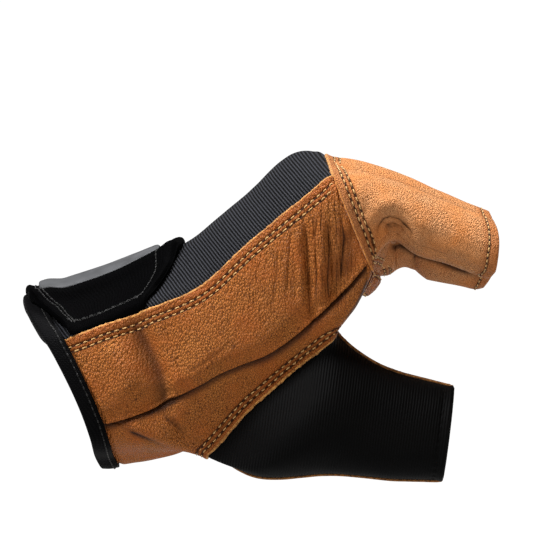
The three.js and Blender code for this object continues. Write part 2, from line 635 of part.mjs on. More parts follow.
// Patch: a moulded plate on the tab, with a crowned face. Its place is given in shares of the tab.
const PATCH = { first: 0.20, last: 0.84, near: 0.36, far: 0.80 };
const PATCH_STEPS = [0, 0.05, 0.14, 0.26, 0.38, 0.5, 0.62, 0.74, 0.86, 0.95, 1];
const onTab = (s, t) => [
  THREE.MathUtils.lerp(PATCH.first, PATCH.last, s),
  THREE.MathUtils.lerp(PATCH.near, PATCH.far, t),
];
const crowned = (share) => 4 * share * (1 - share);
const patchPlace = (s, t) => tabPlace(...onTab(s, t));
const patchUnder = (s, t) => tabOver(...onTab(s, t)) + 1.3 * LAYER_GAP;
const patchOver = (s, t) => patchUnder(s, t) + PATCH_THICKNESS + PATCH_CROWN * crowned(s) * crowned(t);

// Pads: filled leather shapes sewn under the palm, each in a span of rows and columns, thinned at its edges and
// along its stitched channels, in shares of PAD_THICKNESS.
const PADS = [
  { name: 'palm_pad', firstRow: 8.18, lastRow: 9.12, firstColumn: 12.3, lastColumn: 17.1 },
  { name: 'knuckle_pad', firstRow: 9.26, lastRow: 9.96, firstColumn: 12.1, lastColumn: 17.2 },
];
const PAD_ACROSS = [
  { at: 0, fill: 0.3 },
  { at: 0.05, fill: 0.9 },
  { at: 0.12, fill: 1 },
  { at: 0.2, fill: 1 },
  { at: 0.27, fill: 0.9 },
  { at: 0.31, fill: 0.5 },
  { at: 0.35, fill: 0.9 },
  { at: 0.44, fill: 1 },
  { at: 0.54, fill: 1 },
  { at: 0.63, fill: 0.9 },
  { at: 0.67, fill: 0.5 },
  { at: 0.71, fill: 0.9 },
  { at: 0.8, fill: 1 },
  { at: 0.88, fill: 1 },
  { at: 0.95, fill: 0.9 },
  { at: 1, fill: 0.3 },
];
const PAD_ALONG = [
  { at: 0, fill: 0.35 },
  { at: 0.2, fill: 0.95 },
  { at: 0.5, fill: 1.05 },
  { at: 0.8, fill: 0.95 },
  { at: 1, fill: 0.35 },
];

function padOn(pad) {
  const place = (s, t) => [
    THREE.MathUtils.lerp(pad.firstRow, pad.lastRow, s),
    THREE.MathUtils.lerp(pad.firstColumn, pad.lastColumn, t),
  ];
  const fill = (s, t) => lookUp(PAD_ALONG, 'at', s, 'fill') * lookUp(PAD_ACROSS, 'at', t, 'fill');
  const seat = LEATHER_PROUD + LAYER_GAP;
  const steps = (table) => table.map((row) => row.at);
  return layer(steps(PAD_ALONG), steps(PAD_ACROSS), place, () => seat, (s, t) => seat + PAD_THICKNESS * fill(s, t));
}

// Finishes, and the group
const finish = (color, roughness, metalness = 0) => new THREE.MeshStandardMaterial({ color, roughness, metalness });
const tan = finish(0xb5713a, 0.6);
const black = finish(0x16171b, 0.8);
const tape = finish(0x0e0f12, 0.9);
const rubber = finish(0x4a4b4e, 0.5);

const glove = new THREE.Group();
function addPiece(name, geometry, material) {
  const mesh = new THREE.Mesh(geometry, material);
  mesh.name = name;
  glove.add(mesh);
}

const facesOf = (name) => skin.faces.filter((face) => face.part === name);
const underBinding = new Set(skinRow(0).concat(skinRow(0.5), skinRow(1)));
const leatherTop = (i) => (underBinding.has(i) ? 0 : LEATHER_PROUD);
const cloth = (faces) => wall(faces, 0, -CLOTH_WALL);
const leather = (faces) => wall(faces, leatherTop, (i) => leatherTop(i) - LEATHER_WALL);

addPiece('back_cloth', cloth(facesOf('back_cloth')), black);
addPiece('side_leather', leather(facesOf('side_leather')), tan);
addPiece('palm_leather', leather(facesOf('palm_leather')), tan);
addPiece('thumb_cloth', cloth(facesOf('thumb_cloth')), black);
addPiece('thumb_leather', leather(facesOf('thumb_leather')), tan);
FINGERS.forEach((finger) => addPiece(finger.name, leather(facesOf(finger.name)), tan));
addPiece('cuff_binding', binding(), tape);
addPiece('closure_tab', layer(TAB_PROFILE.map((p) => p.at), TAB_STEPS, tabPlace, tabUnder, tabOver), black);
addPiece('tab_patch', layer(PATCH_STEPS, PATCH_STEPS, patchPlace, patchUnder, patchOver), rubber);
PADS.forEach((pad) => addPiece(pad.name, padOn(pad), tan));

export default glove;
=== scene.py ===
# Half-finger training glove for the left hand, standing in the shape that a relaxed hand gives it.
# Metres, +Z up: +X from the cuff to the finger tips, +Y from the index finger to the little one.
import itertools
import math

import bpy
import numpy as np
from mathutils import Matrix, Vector, noise
from mathutils.bvhtree import BVHTree
from mathutils.kdtree import KDTree


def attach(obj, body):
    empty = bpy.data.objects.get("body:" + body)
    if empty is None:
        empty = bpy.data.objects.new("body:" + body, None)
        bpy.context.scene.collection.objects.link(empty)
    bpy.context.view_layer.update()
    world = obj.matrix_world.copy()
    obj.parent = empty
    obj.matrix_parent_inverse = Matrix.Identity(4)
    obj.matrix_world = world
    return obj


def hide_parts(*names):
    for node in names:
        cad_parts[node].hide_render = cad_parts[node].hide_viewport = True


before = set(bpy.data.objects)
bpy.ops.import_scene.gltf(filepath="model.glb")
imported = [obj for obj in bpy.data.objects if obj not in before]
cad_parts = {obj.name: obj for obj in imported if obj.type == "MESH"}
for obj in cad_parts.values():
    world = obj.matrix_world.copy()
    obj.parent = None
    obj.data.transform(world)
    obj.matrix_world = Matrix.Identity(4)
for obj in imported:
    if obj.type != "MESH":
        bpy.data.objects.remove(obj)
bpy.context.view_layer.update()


# The glove's form
# A glove is cut from flat panels and sewn into one skin round the hand. The skin is a smooth surface over a
# net of points: rings round the palm from the cuff to the finger seam, then rings of the four stalls and of
# the thumb.
MM = 0.001
PALM_LENGTH = 110 * MM
WRIST_DEPTH = 62 * MM
HAND_BREADTH = 92 * MM
FINGER_DEPTH = 21 * MM
FINGER_GAP = 1.2 * MM
THUMB_LENGTH = 60 * MM
THUMB_WIDTH = 30.6 * MM
THUMB_DEPTH = 25 * MM
BINDING_WIDTH = 6.5 * MM
FOLD_DEPTH = 2.2 * MM

# Rows of the palm, from the wrist edge to the web, in shares of the sizes above, and tilts in degrees.
PALM_NAMES = "along rise tilt depth breadth scoop seam fold under palm thenar square arch".split()
PALM_ROWS = [dict(zip(PALM_NAMES, row)) for row in [
    (0.000, 0.0000, 25.0, 0.980, 0.740, 0.035, 0.505, 0.43, 0.70, 1.00, 0.75, 2.0, 0.00),
    (BINDING_WIDTH / PALM_LENGTH, 0.007, 24.7, 0.987, 0.745, 0.030, 0.535, 0.43, 0.71, 0.99, 0.75, 2.0, 0.00),
    (0.150, 0.0255, 22.6, 0.992, 0.760, 0.012, 0.565, 0.42, 0.74, 0.99, 0.76, 2.0, 0.01),
    (0.255, 0.0523, 18.6, 1.023, 0.790, 0.000, 0.585, 0.38, 0.82, 0.96, 0.76, 2.1, 0.02),
    (0.351, 0.0855, 15.2, 1.070, 0.840, 0.000, 0.570, 0.31, 0.98, 0.86, 0.60, 2.2, 0.04),
    (0.453, 0.1710, 16.0, 0.964, 0.890, 0.000, 0.500, 0.44, 1.00, 0.72, 0.74, 2.3, 0.06),
    (0.549, 0.2564, 16.5, 0.939, 0.940, 0.000, 0.515, 0.61, 1.00, 0.64, 0.80, 2.4, 0.08),
    (0.645, 0.3405, 15.7, 0.945, 0.980, 0.000, 0.520, 0.68, 1.00, 0.62, 0.82, 2.5, 0.10),
    (0.740, 0.4237, 14.5, 0.960, 1.000, 0.000, 0.500, 0.67, 1.00, 0.74, 0.80, 2.6, 0.11),
    (0.804, 0.4800, 15.3, 0.810, 1.000, 0.000, 0.580, 0.76, 1.06, 0.97, 0.80, 2.7, 0.11),
    (0.850, 0.5320, 22.0, 0.580, 0.980, 0.000, 0.640, 0.96, 1.16, 1.22, 0.80, 2.7, 0.11),
]]
THUMB_FIRST, THUMB_LAST = 4, 8
CLOTH_LAST_ROW = 10
WEB = {"along": 0.936, "rise": 0.536, "tilt": 24}
FINGER_NAMES = "name length breadth depth lift pitch spread".split()
FINGERS = [dict(zip(FINGER_NAMES, row)) for row in [
    ("index_stall", 39 * MM, 0.252, 1.00, 0.00, -21.0, -1.5),
    ("middle_stall", 40 * MM, 0.260, 1.02, 0.15, -22.5, 0),
    ("ring_stall", 35 * MM, 0.254, 0.98, -0.42, -14.5, 1),
    ("little_stall", 32 * MM, 0.234, 0.88, -0.50, -15.0, 3),
]]
STALLS = [finger["name"] for finger in FINGERS]
# Rings of a stall (at, tilt, depth, width, bulge) and of the thumb (at, tilt, width, depth, side, drop)
STALL_RINGS = [(0.27, 8, 1.10, 0.98, 0), (0.61, 0, 1.00, 0.97, 0), (1.00, -7, 0.96, 0.95, 0.06)]
WEB_DEPTH = 1.2
WEB_CORNER = 0.62
THUMB_PITCH = -12
THUMB_RINGS = [
    (0.205, -38, 1.72, 1.42, -0.60, 0.142),
    (0.490, -33, 1.33, 1.18, -0.64, 0.132),
    (0.765, -20, 1.13, 1.04, -0.65, 0.113),
    (1.000, -7, 1.00, 1.00, -0.65, 0.090),
]
RING = 20
SHOULDER = 0.93
ACROSS = np.array([0.0, 1.0, 0.0])
PANELS = ["back_cloth", "side_leather", "palm_leather", "thumb_cloth", "thumb_leather"] + STALLS
net = {"points": [], "faces": [], "panels": [], "places": []}


def add_point(point):
    net["points"].append(np.array(point, float))
    return len(net["points"]) - 1


def join(ring, following, row, panel_of):
    """Faces between two rings. panel_of names the panel of each column, or gives None for an opening."""
    for k in range(len(ring)):
        after = (k + 1) % len(ring)
        panel = panel_of(k)
        if panel:
            net["faces"].append((ring[k], following[k], following[after], ring[after]))
            net["panels"].append(PANELS.index(panel))
            net["places"] += [(k, row), (k, row + 1), (k + 1, row + 1), (k + 1, row)]


def upward(tilt):
    return np.array([-math.sin(math.radians(tilt)), 0, math.cos(math.radians(tilt))])


edges = [-1.0] + [-1 + 2 * sum(f["breadth"] for f in FINGERS[: i + 1]) for i in range(len(FINGERS))]
lateral = [-SHOULDER]
for low, high in zip(edges, edges[1:]):
    lateral += [(low + high) / 2, high]
lateral[-1] = SHOULDER


def palm_point(row, across, up):
    middle = np.array([row["along"], 0, row["rise"]]) * PALM_LENGTH
    lean = max(0, (across + 0.3) / 1.3)
    middle[0] += row["scoop"] * PALM_LENGTH * abs(across) ** 3
    height = up * row["depth"] * WRIST_DEPTH / 2 - row["arch"] * WRIST_DEPTH * lean * lean
    return middle + ACROSS * across * row["breadth"] * HAND_BREADTH / 2 + upward(row["tilt"]) * height


def palm_ring(row):
    ring = [None] * RING
    ring[0] = palm_point(row, -1, 0)
    ring[RING // 2] = palm_point(row, 1, 0)
    for j, a in enumerate(lateral):
        crown = (1 - abs(a) ** row["square"]) ** (1 / row["square"])
        across, back, below = a, crown, row["palm"] * crown
        if j == 0:
            back, below = row["seam"], row["fold"]
        elif j == 1:
            across, below = -row["thenar"], row["under"]
        elif j == 2:
            across, below = a * 0.85, (row["under"] + row["palm"]) / 2
        ring[j + 1] = palm_point(row, a, back)
        ring[RING - 1 - j] = palm_point(row, across, -below)
    return [add_point(point) for point in ring]


def palm_panel(row, k):
    if THUMB_FIRST <= row < THUMB_LAST and RING - 4 <= k < RING - 2:
        return None
    if 1 <= k < 9:
        return "back_cloth"
    return "side_leather" if k in (0, RING - 1) else "palm_leather"


rings = [palm_ring(row) for row in PALM_ROWS]
for row in range(CLOTH_LAST_ROW):
    join(rings[row], rings[row + 1], row, lambda k: palm_panel(row, k))


def build_stalls():
    count = len(FINGERS)
    web_up = upward(WEB["tilt"])
    web_middle = np.array([WEB["along"], 0, WEB["rise"]]) * PALM_LENGTH
    half_depths = [f["depth"] * WEB_DEPTH * FINGER_DEPTH / 2 for f in FINGERS]
    centres = [(a + b) / 2 * HAND_BREADTH / 2 for a, b in zip(edges, edges[1:])]

    def at(i, y, up):
        lifted = web_middle + web_up * (FINGERS[i]["lift"] * FINGER_DEPTH + up * half_depths[i])
        return np.array([lifted[0], y, lifted[2]])

    def border(i, up):
        y = edges[i] * HAND_BREADTH / 2
        if i in (0, count):
            return at(0 if i == 0 else i - 1, y * (SHOULDER if up else 1), up)
        return (at(i - 1, y, up) + at(i, y, up)) / 2

    web = [None] * RING
    corner = math.sqrt(0.5)
    for i in range(count + 1):
        rise = corner if i in (0, count) else WEB_CORNER
        web[2 * i + 1], web[RING - 2 * i - 1] = border(i, rise), border(i, -rise)
    for i in range(count):
        web[2 * i + 2], web[RING - 2 * i - 2] = at(i, centres[i], 1), at(i, centres[i], -1)
    web[0], web[RING // 2] = border(0, 0), border(count, 0)
    web = [add_point(point) for point in web]
    crotches = [web[0]] + [add_point(border(i, 0)) for i in range(1, count)] + [web[RING // 2]]

    def owner(k):
        column = k if k < RING / 2 else RING - 1 - k
        return STALLS[min(count - 1, max(0, (column - 1) // 2))]

    join(rings[CLOTH_LAST_ROW], web, CLOTH_LAST_ROW, owner)
    for i, finger in enumerate(FINGERS):
        a = 2 * i + 1
        pitch, spread = math.radians(finger["pitch"]), math.radians(finger["spread"])
        ahead = np.array([math.cos(pitch), math.tan(spread), math.sin(pitch)]) * math.cos(spread)
        ring = [crotches[i], web[a], web[a + 1], web[a + 2]]
        ring += [crotches[i + 1], web[RING - a - 2], web[RING - a - 1], web[RING - a]]
        half_width = (finger["breadth"] * HAND_BREADTH - FINGER_GAP) / 2
        for step, (share, tilt, depth, width, bulge) in enumerate(STALL_RINGS):
            middle = at(i, centres[i], 0) + ahead * share * finger["length"]
            following = []
            for k in range(len(ring)):
                angle = math.pi - k * math.pi / 4
                following.append(add_point(
                    middle + ACROSS * math.cos(angle) * half_width * width
                    + upward(tilt) * math.sin(angle) * finger["depth"] * FINGER_DEPTH / 2 * depth
                    + ahead * abs(math.cos(angle)) * bulge * finger["length"]))
            join(ring, following, RING + step, lambda k: finger["name"])
            ring = following


def build_thumb():
    near = [rings[row][RING - 2] for row in range(THUMB_FIRST, THUMB_LAST + 1)]
    far = [rings[row][RING - 4] for row in range(THUMB_LAST, THUMB_FIRST - 1, -1)]
    ring = near + [rings[THUMB_LAST][RING - 3]] + far + [rings[THUMB_FIRST][RING - 3]]
    root = np.mean([net["points"][i] for i in ring], axis=0)
    line = np.array([math.cos(math.radians(THUMB_PITCH)), 0, math.sin(math.radians(THUMB_PITCH))])
    count = len(ring)
    cloth = {*range(count // 2 - 1), count - 1}
    for step, (share, tilt, width, depth, side, drop) in enumerate(THUMB_RINGS):
        middle = root + line * share * THUMB_LENGTH
        middle[1] = side * HAND_BREADTH / 2
        middle[2] -= drop * THUMB_LENGTH
        following = []
        for k in range(count):
            angle = (k + 1) * 2 * math.pi / count - math.pi / 2
            following.append(add_point(
                middle + upward(tilt) * math.sin(angle) * width * THUMB_WIDTH / 2
                - ACROSS * math.cos(angle) * depth * THUMB_DEPTH / 2))
        join(ring, following, 2 * RING + step, lambda k: "thumb_cloth" if k in cloth else "thumb_leather")
        ring = following


build_stalls()
build_thumb()

# The net moves out until its smooth skin passes through the points that the tables give.
FIT_ROUNDS = 12


def fit_net():
    wanted = np.array(net["points"])
    count = len(wanted)
    lines, corners, fans = {}, [[] for _ in range(count)], [0] * count
    for face in net["faces"]:
        for i, a in enumerate(face):
            b = face[(i + 1) % 4]
            lines[min(a, b), max(a, b)] = lines.get((min(a, b), max(a, b)), 0) + 1
            corners[a].append(face[(i + 2) % 4])
            fans[a] += 1
    limit = np.zeros((count, count))
    rim = {i for line, uses in lines.items() if uses == 1 for i in line}
    for (a, b), uses in lines.items():
        for here, other in ((a, b), (b, a)):
            if here not in rim:
                limit[here, other] += 4
            elif uses == 1:
                limit[here, other] += 1
    for i in range(count):
        if i in rim:
            limit[i, i] = 4
        elif not fans[i]:
            limit[i, i] = 1
        else:
            limit[i, i] = fans[i] ** 2
            for other in corners[i]:
                limit[i, other] += 1
    limit /= limit.sum(1, keepdims=True)
    fitted = wanted.copy()
    for _ in range(FIT_ROUNDS):
        fitted += wanted - limit @ fitted
    net["points"] = fitted


fit_net()


def normals_of(points, faces):
    a, b, c, d = (points[faces[:, i]] for i in range(4))
    cross = np.cross(c - a, d - b)
    normals = np.zeros_like(points)
    for i in range(4):
        np.add.at(normals, faces[:, i], cross)
    return normals / np.maximum(np.linalg.norm(normals, axis=1, keepdims=True), 1e-12)


# Folds of the index side, which the wearer's hand has pressed in for good: start and end in X and Z and
# width, in shares of PALM_LENGTH, and depth in shares of FOLD_DEPTH
FOLDS = [
    ((0.27, 0.20), (0.33, 0.00), 0.062, 1.0),
    ((0.72, 0.50), (0.72, 0.26), 0.040, 0.8),
    ((0.79, 0.54), (0.80, 0.28), 0.036, 0.7),
    ((0.97, 0.42), (1.00, 0.50), 0.045, 0.8),
    ((0.12, -0.10), (0.42, 0.02), 0.030, 0.5),
    ((0.42, 0.02), (0.60, 0.10), 0.030, 0.5),
    ((0.60, 0.10), (0.90, 0.37), 0.030, 0.5),
]
# Creases: the side that they are seen from, width, depth (a ridge where it is below zero), how much painted
# shade lies in them, and their route, all in millimetres. A route is in X and Z from the two sides, and in X
# and Y from the palm. A row with no depth is painted shade alone.
CREASES = [
    ("index", 6.2, 1.60, 0.62, [(21.5, 26), (23.5, 19), (28.6, 7), (32, -3), (34, -11)]),
    ("index", 3.2, 0.80, 0.28, [(23.4, 25), (25.2, 19), (31, 6.6), (33.4, -3), (35, -11)]),
    ("index", 2.0, -1.30, 0.0, [(29, 24), (34.4, 11), (38.4, -2)]),
    ("index", 4.0, -1.20, 0.0, [(15, 15), (18.5, 7), (22, -2)]),
    ("index", 0.9, 0.30, 0.4, [(37.5, 9), (41.5, 5.5), (47.5, 9.5), (55, 15)]),
    ("index", 1.0, 1.70, 1.0, [(79, 56), (80, 44), (80.4, 36), (81.4, 22)]),
    ("index", 1.3, -1.10, 0.0, [(76.8, 54), (77.6, 42), (78.2, 28)]),
    ("index", 0.9, 1.20, 0.9, [(86.8, 55), (87.4, 45), (86.8, 36), (87.6, 28)]),
    ("index", 1.5, -1.00, 0.0, [(84.2, 54), (84.8, 42), (84.2, 28)]),
    ("index", 4.0, 1.00, 0.5, [(94, 54), (94, 44), (92, 36)]),
    ("index", 7.0, 0.00, 0.45, [(88, 58), (88, 46), (87, 28)]),
    ("index", 0.6, 0.50, 0.7, [(75.2, 57), (74.2, 47), (73.2, 30)]),
    ("index", 0.6, 0.60, 0.8, [(83.4, 59), (82.8, 50), (83.4, 38), (83.2, 27)]),
    ("index", 0.7, 0.70, 0.8, [(90.6, 60), (92.4, 50), (91.2, 36)]),
    ("index", 0.8, 0.40, 0.5, [(70, 48), (70.5, 40), (69, 26)]),
    ("index", 0.8, 0.22, 0.4, [(65, 42), (64.5, 34), (62, 25)]),
    ("index", 0.7, 0.20, 0.3, [(57, 30), (56, 24), (53, 18)]),
    ("index", 1.3, 0.70, 0.85, [(20.5, -14), (28.5, -17.6), (37, -21)]),
    ("index", 1.5, -0.70, 0.0, [(21, -11.6), (29.5, -15), (37, -18)]),
    ("index", 1.2, 0.70, 0.8, [(33, -9.5), (37, -12.4), (40, -15.4)]),
    ("index", 0.7, 0.35, 0.6, [(35.5, -9), (38.5, -12), (41, -14.5)]),
    ("index", 1.0, -0.50, 0.0, [(19, -21.5), (28.5, -22.5), (37.5, -23)]),
    ("index", 1.3, 1.60, 0.95, [(103.2, 50), (103.3, 53), (104.6, 55.8), (107.2, 57.2), (110.2, 56.4),
                                (112.6, 54), (115.2, 49.5)]),
    ("index", 4.0, 1.80, 0.65, [(106, 50.5), (108.5, 52), (111, 50.5)]),
    ("index", 2.4, -1.40, 0.0, [(99.5, 50), (100.5, 56), (104, 60.4), (108.5, 61.2), (112.6, 58.8),
                                (116, 54.5), (119, 49)]),
    ("index", 0.5, 0.30, 0.30, [(108.2, 49), (106.6, 51.2), (105.2, 53)]),
    ("index", 0.5, 0.30, 0.30, [(108.8, 49.2), (107.9, 52), (107.3, 54.8)]),
    ("index", 0.5, 0.30, 0.30, [(109.4, 49.2), (110, 51.8), (110.2, 54)]),
    ("index", 0.5, 0.30, 0.30, [(110, 48.8), (111.6, 50.8), (112.6, 51.8)]),
    ("index", 0.9, 0.45, 0.6, [(115.5, 47), (120.5, 45.5), (127, 43)]),
    ("index", 0.8, 0.25, 0.4, [(95, 64), (99, 60), (101, 54)]),
    ("index", 0.8, 0.22, 0.4, [(118, 62), (121, 56), (123, 50)]),
    ("little", 2.4, 0.60, 0.3, [(24, 22), (30, 12), (34, 2)]),
    ("little", 1.6, -0.40, 0.0, [(31, 22), (36, 12), (40, 3)]),
    ("little", 1.0, 0.50, 0.6, [(70, 34), (72, 24), (76, 14)]),
    ("little", 1.0, 0.50, 0.6, [(79, 38), (80, 29), (84, 20)]),
    ("little", 1.2, -0.40, 0.0, [(75, 37), (76.5, 27), (80, 17)]),
    ("little", 0.8, 0.30, 0.4, [(52, 22), (52, 13), (55, 4)]),
    ("little", 1.0, 0.50, 0.6, [(88, 42), (90, 35), (92, 30)]),
    ("palm", 1.6, 0.60, 0.5, [(30, 2), (42, -4), (54, -6), (64, 0)]),
    ("palm", 1.2, 0.50, 0.5, [(56, 36), (60, 20), (66, 6), (78, -2)]),
    ("palm", 1.4, 0.60, 0.5, [(40, 34), (48, 22), (52, 10)]),
    ("palm", 0.9, 0.30, 0.4, [(22, 18), (34, 14), (44, 14)]),
    ("palm", 0.9, 0.30, 0.4, [(20, -8), (30, -11), (40, -10)]),
    ("palm", 6.0, -4.00, 0.0, [(104, -14), (106, 12), (105, 32)]),
    ("palm", 7.0, -2.60, 0.0, [(117, 12), (128, 12.5), (141, 13)]),
    ("gap", 1.7, 0.40, 1.0, [(101, 42), (106, 45.4), (111.5, 45.8), (117.5, 41.9), (124, 40.2), (130.7, 37.9),
                             (140, 34.8)]),
    ("gap", 1.5, 0.30, 0.75, [(104, 69), (111.5, 66.2), (117.5, 63.9), (124, 61.2), (130.7, 58.2),
                              (140, 55)]),
    ("gap", 0.9, 1.20, 0.9, [(109.2, 46), (109, 38)]),
    ("gap", 1.3, 1.60, 1.0, [(115.4, 42), (116.4, 38)]),
    ("gap", 2.0, -0.80, 0.0, [(112, 44), (112.4, 38)]),
]
# Where the bent hide has broken into fine wrinkles, lying aslant or upright: how strongly, width in
# millimetres, and route in X and Z
WRINKLED = {
    "slanted": [(0.35, 7, [(20, -13), (38, -19)])],
    "upright": [(1.0, 10, [(86, 57), (86, 38)]), (0.5, 5, [(98, 60), (101, 48)]),
                (0.4, 8, [(68, 42), (66, 30)])],
}
# Each side: the axis that goes with X, which way it looks, and the nearest Y that it reaches. The gap is
# what shows of the other fingers behind the index one, with a painted shadow under the index finger's edge.
SIDES = {"index": (2, (0, -1, 0), -99), "gap": (2, (0, -1, 0), -21), "little": (2, (0, 1, 0), -99),
         "palm": (1, (0, 0, -1), -99)}
DARK_SHARE = 0.7
# The fold of the hand runs on along the index finger: its leather is folded to an edge beside the finger's
# lowest column, with a recess under it. Rows of the net, and columns away from that lowest one.
EDGE_ROWS, EDGE_COLUMNS = (10, 11, 20, 23), (1.0, 0.75, 0.75, 0.5)
EDGE_LIP, EDGE_LIP_WIDTH = 0.9 * MM, 0.2
EDGE_RECESS, EDGE_RECESS_WIDTH = 1.6 * MM, 0.13
EDGE_BELOW = 0.3
EDGE_LIFT, EDGE_LIFT_WIDTH = 2.8 * MM, 0.9
EDGE_START = 0.3
# How much painted shade lies in the recess
EDGE_SHADE = 0.4
NOWHERE = 99


def bell(away, width):
    """1 in the middle, falling off softly over the width."""
    return np.exp(-(away / width) ** 2)


def facing(normals, towards):
    """How much a surface looks that way, and nothing where it is seen at a graze."""
    return np.clip(1.6 * normals @ np.array(towards) - 0.1, 0, 1)


def near_route(places, route):
    """How far each place is from a route, and how far along it, as a share from 0 to 1."""
    best = np.full(len(places), np.inf)
    share = np.zeros(len(places))
    route = np.array(route, float)
    steps = np.linalg.norm(np.diff(route, axis=0), axis=1)
    walked = np.concatenate([[0], np.cumsum(steps)]) / steps.sum()
    for i, (a, b) in enumerate(zip(route, route[1:])):
        t = np.clip((places - a) @ (b - a) / ((b - a) @ (b - a)), 0, 1)
        away = np.linalg.norm(places - a - t[:, None] * (b - a), axis=1)
        nearer = away < best
        best[nearer] = away[nearer]
        share[nearer] = (walked[i] + t * (walked[i + 1] - walked[i]))[nearer]
    return best, share


RIPPLES = [(11 * MM, 0.16 * MM), (5 * MM, 0.08 * MM)]


def folded_edge(points, place):
    """The lip and recess of the index finger's lower edge, and the painted shade in the recess."""
    column, row = place[:, 0], place[:, 1]
    lowest = np.where(row < 2 * RING - 1, 6, NOWHERE)
    lowest = np.where(row < RING - 0.01, RING - 2, lowest)
    past = column - lowest - np.interp(row, EDGE_ROWS, EDGE_COLUMNS)
    on_index = (points[:, 1] < edges[1] * HAND_BREADTH / 2) * (row < 2 * RING - 1)
    on_index = on_index * np.clip((row - CLOTH_LAST_ROW) / EDGE_START, 0, 1)
    lip = EDGE_LIP * bell(past, EDGE_LIP_WIDTH)
    recess = EDGE_RECESS * bell(past + EDGE_BELOW, EDGE_RECESS_WIDTH)
    dark = np.exp(-((past + 0.8 * EDGE_BELOW) / EDGE_RECESS_WIDTH) ** 4)
    raised = EDGE_LIFT * bell(past + 0.4 * EDGE_BELOW, EDGE_LIFT_WIDTH)
    return on_index * (lip - recess - raised), EDGE_SHADE * on_index * dark


def wrinkled(points, normals):
    """How wrinkled the hide is at each point, each way."""
    seen = facing(normals, SIDES["index"][1])
    masks = {}
    for label, places in WRINKLED.items():
        masks[label] = np.zeros(len(points))
        for strength, width, route in places:
            away, _ = near_route(points[:, [0, 2]], np.array(route) * MM)
            masks[label] = np.maximum(masks[label], strength * seen * bell(away, width * MM))
    return masks


def press(points, normals, place):
    """Presses folds and creases into the skin. Gives the moved points and the painted shade at each, in
    creases, gaps and the recess.
    """
    moved, dark = folded_edge(points, place)
    nearside = np.clip(-normals[:, 1], 0, 1)
    for start, end, width, depth in FOLDS:
        away, t = near_route(points[:, [0, 2]], np.array([start, end]) * PALM_LENGTH)
        ends = np.minimum(1, 4 * t * (1 - t) + 0.25)
        moved -= depth * FOLD_DEPTH * ends * nearside * bell(away, width * PALM_LENGTH)
    for side, width, depth, shade, route in CREASES:
        axis, towards, nearest = SIDES[side]
        away, t = near_route(points[:, [0, axis]], np.array(route) * MM)
        ends = np.minimum(1, 6 * t * (1 - t) + 0.15)
        fade = ends * facing(normals, towards) * (points[:, 1] > nearest * MM)
        moved -= depth * MM * fade * bell(away, width * MM)
        dark += shade * fade * bell(away, DARK_SHARE * width * MM)
    for size, height in RIPPLES:
        moved += height * np.array([noise.noise(Vector(p / size)) for p in points])
    return points + moved[:, None] * normals, np.clip(dark, 0, 1)


def smooth_mesh(name, points, faces):
    mesh = bpy.data.meshes.new(name)
    mesh.from_pydata(points.reshape(-1, 3).tolist(), [], faces.tolist())
    mesh.polygons.foreach_set("use_smooth", np.ones(len(mesh.polygons), bool))
    return mesh


def link(name, mesh):
    made = bpy.data.objects.new(name, mesh)
    bpy.context.scene.collection.objects.link(made)
    return made


def applied(made):
    """The object as a plain mesh, with its modifiers applied and removed."""
    bpy.context.view_layer.update()
    mesh = bpy.data.meshes.new_from_object(made.evaluated_get(bpy.context.evaluated_depsgraph_get()))
    made.modifiers.clear()
    made.data = mesh
    return made


def values_of(items, label, width, kind=float):
    values = np.empty(width * len(items), kind)
    items.foreach_get(label, values)
    return values.reshape(-1, width)


def refine(level):
    """The skin after that many halvings of the net, with the panel across each face's four edges."""
    mesh = bpy.data.meshes.new("net")
    mesh.from_pydata(net["points"].tolist(), [], net["faces"])
    mesh.attributes.new("panel", "INT", "FACE").data.foreach_set("value", net["panels"])
    mesh.uv_layers.new(name="place").data.foreach_set("uv", np.array(net["places"], float).ravel())
    made = link("net", mesh)
    smooth = made.modifiers.new("smooth", "SUBSURF")
    smooth.levels = smooth.render_levels = level
    smooth.uv_smooth, smooth.boundary_smooth = "NONE", "ALL"
    mesh = applied(made).data
    points = values_of(mesh.vertices, "co", 3)
    faces = values_of(mesh.loops, "vertex_index", 1, int).reshape(-1, 4)
    panels = values_of(mesh.attributes["panel"].data, "value", 1, int).ravel()
    place = np.full((len(points), 2), float(NOWHERE))
    place[faces.ravel()] = values_of(mesh.uv_layers["place"].data, "uv", 2)
    bpy.data.objects.remove(made)
    points, dark = press(points, normals_of(points, faces), place)
    ahead = (faces * len(points) + np.roll(faces, -1, 1)).ravel()
    back = (np.roll(faces, -1, 1) * len(points) + faces).ravel()
    order = np.argsort(ahead)
    spot = np.minimum(np.searchsorted(ahead[order], back), ahead.size - 1)
    across = np.where(ahead[order][spot] == back, panels[order[spot] // 4], -1).reshape(-1, 4)
    normals = normals_of(points, faces)
    return {"points": points, "faces": faces, "normals": normals, "panels": panels, "across": across,
            "place": place, "dark": dark, "masks": wrinkled(points, normals)}


FINE, FINEST = 4, 5
skins = {level: refine(level) for level in (FINE, FINEST)}


def palm_grid(skin, steps):
    """The palm's points as a grid, with steps rows and columns to each of the net's."""
    grid = np.full((CLOTH_LAST_ROW * steps + 1, RING * steps), -1)
    palm = skin["place"][:, 1] <= CLOTH_LAST_ROW
    index = np.nonzero(palm)[0]
    columns = np.rint(skin["place"][index, 0] * steps).astype(int) % (RING * steps)
    rows = np.rint(skin["place"][index, 1] * steps).astype(int)
    grid[rows, columns] = index
    return grid


GRID_STEPS = 2 ** FINE
grid = palm_grid(skins[FINE], GRID_STEPS)


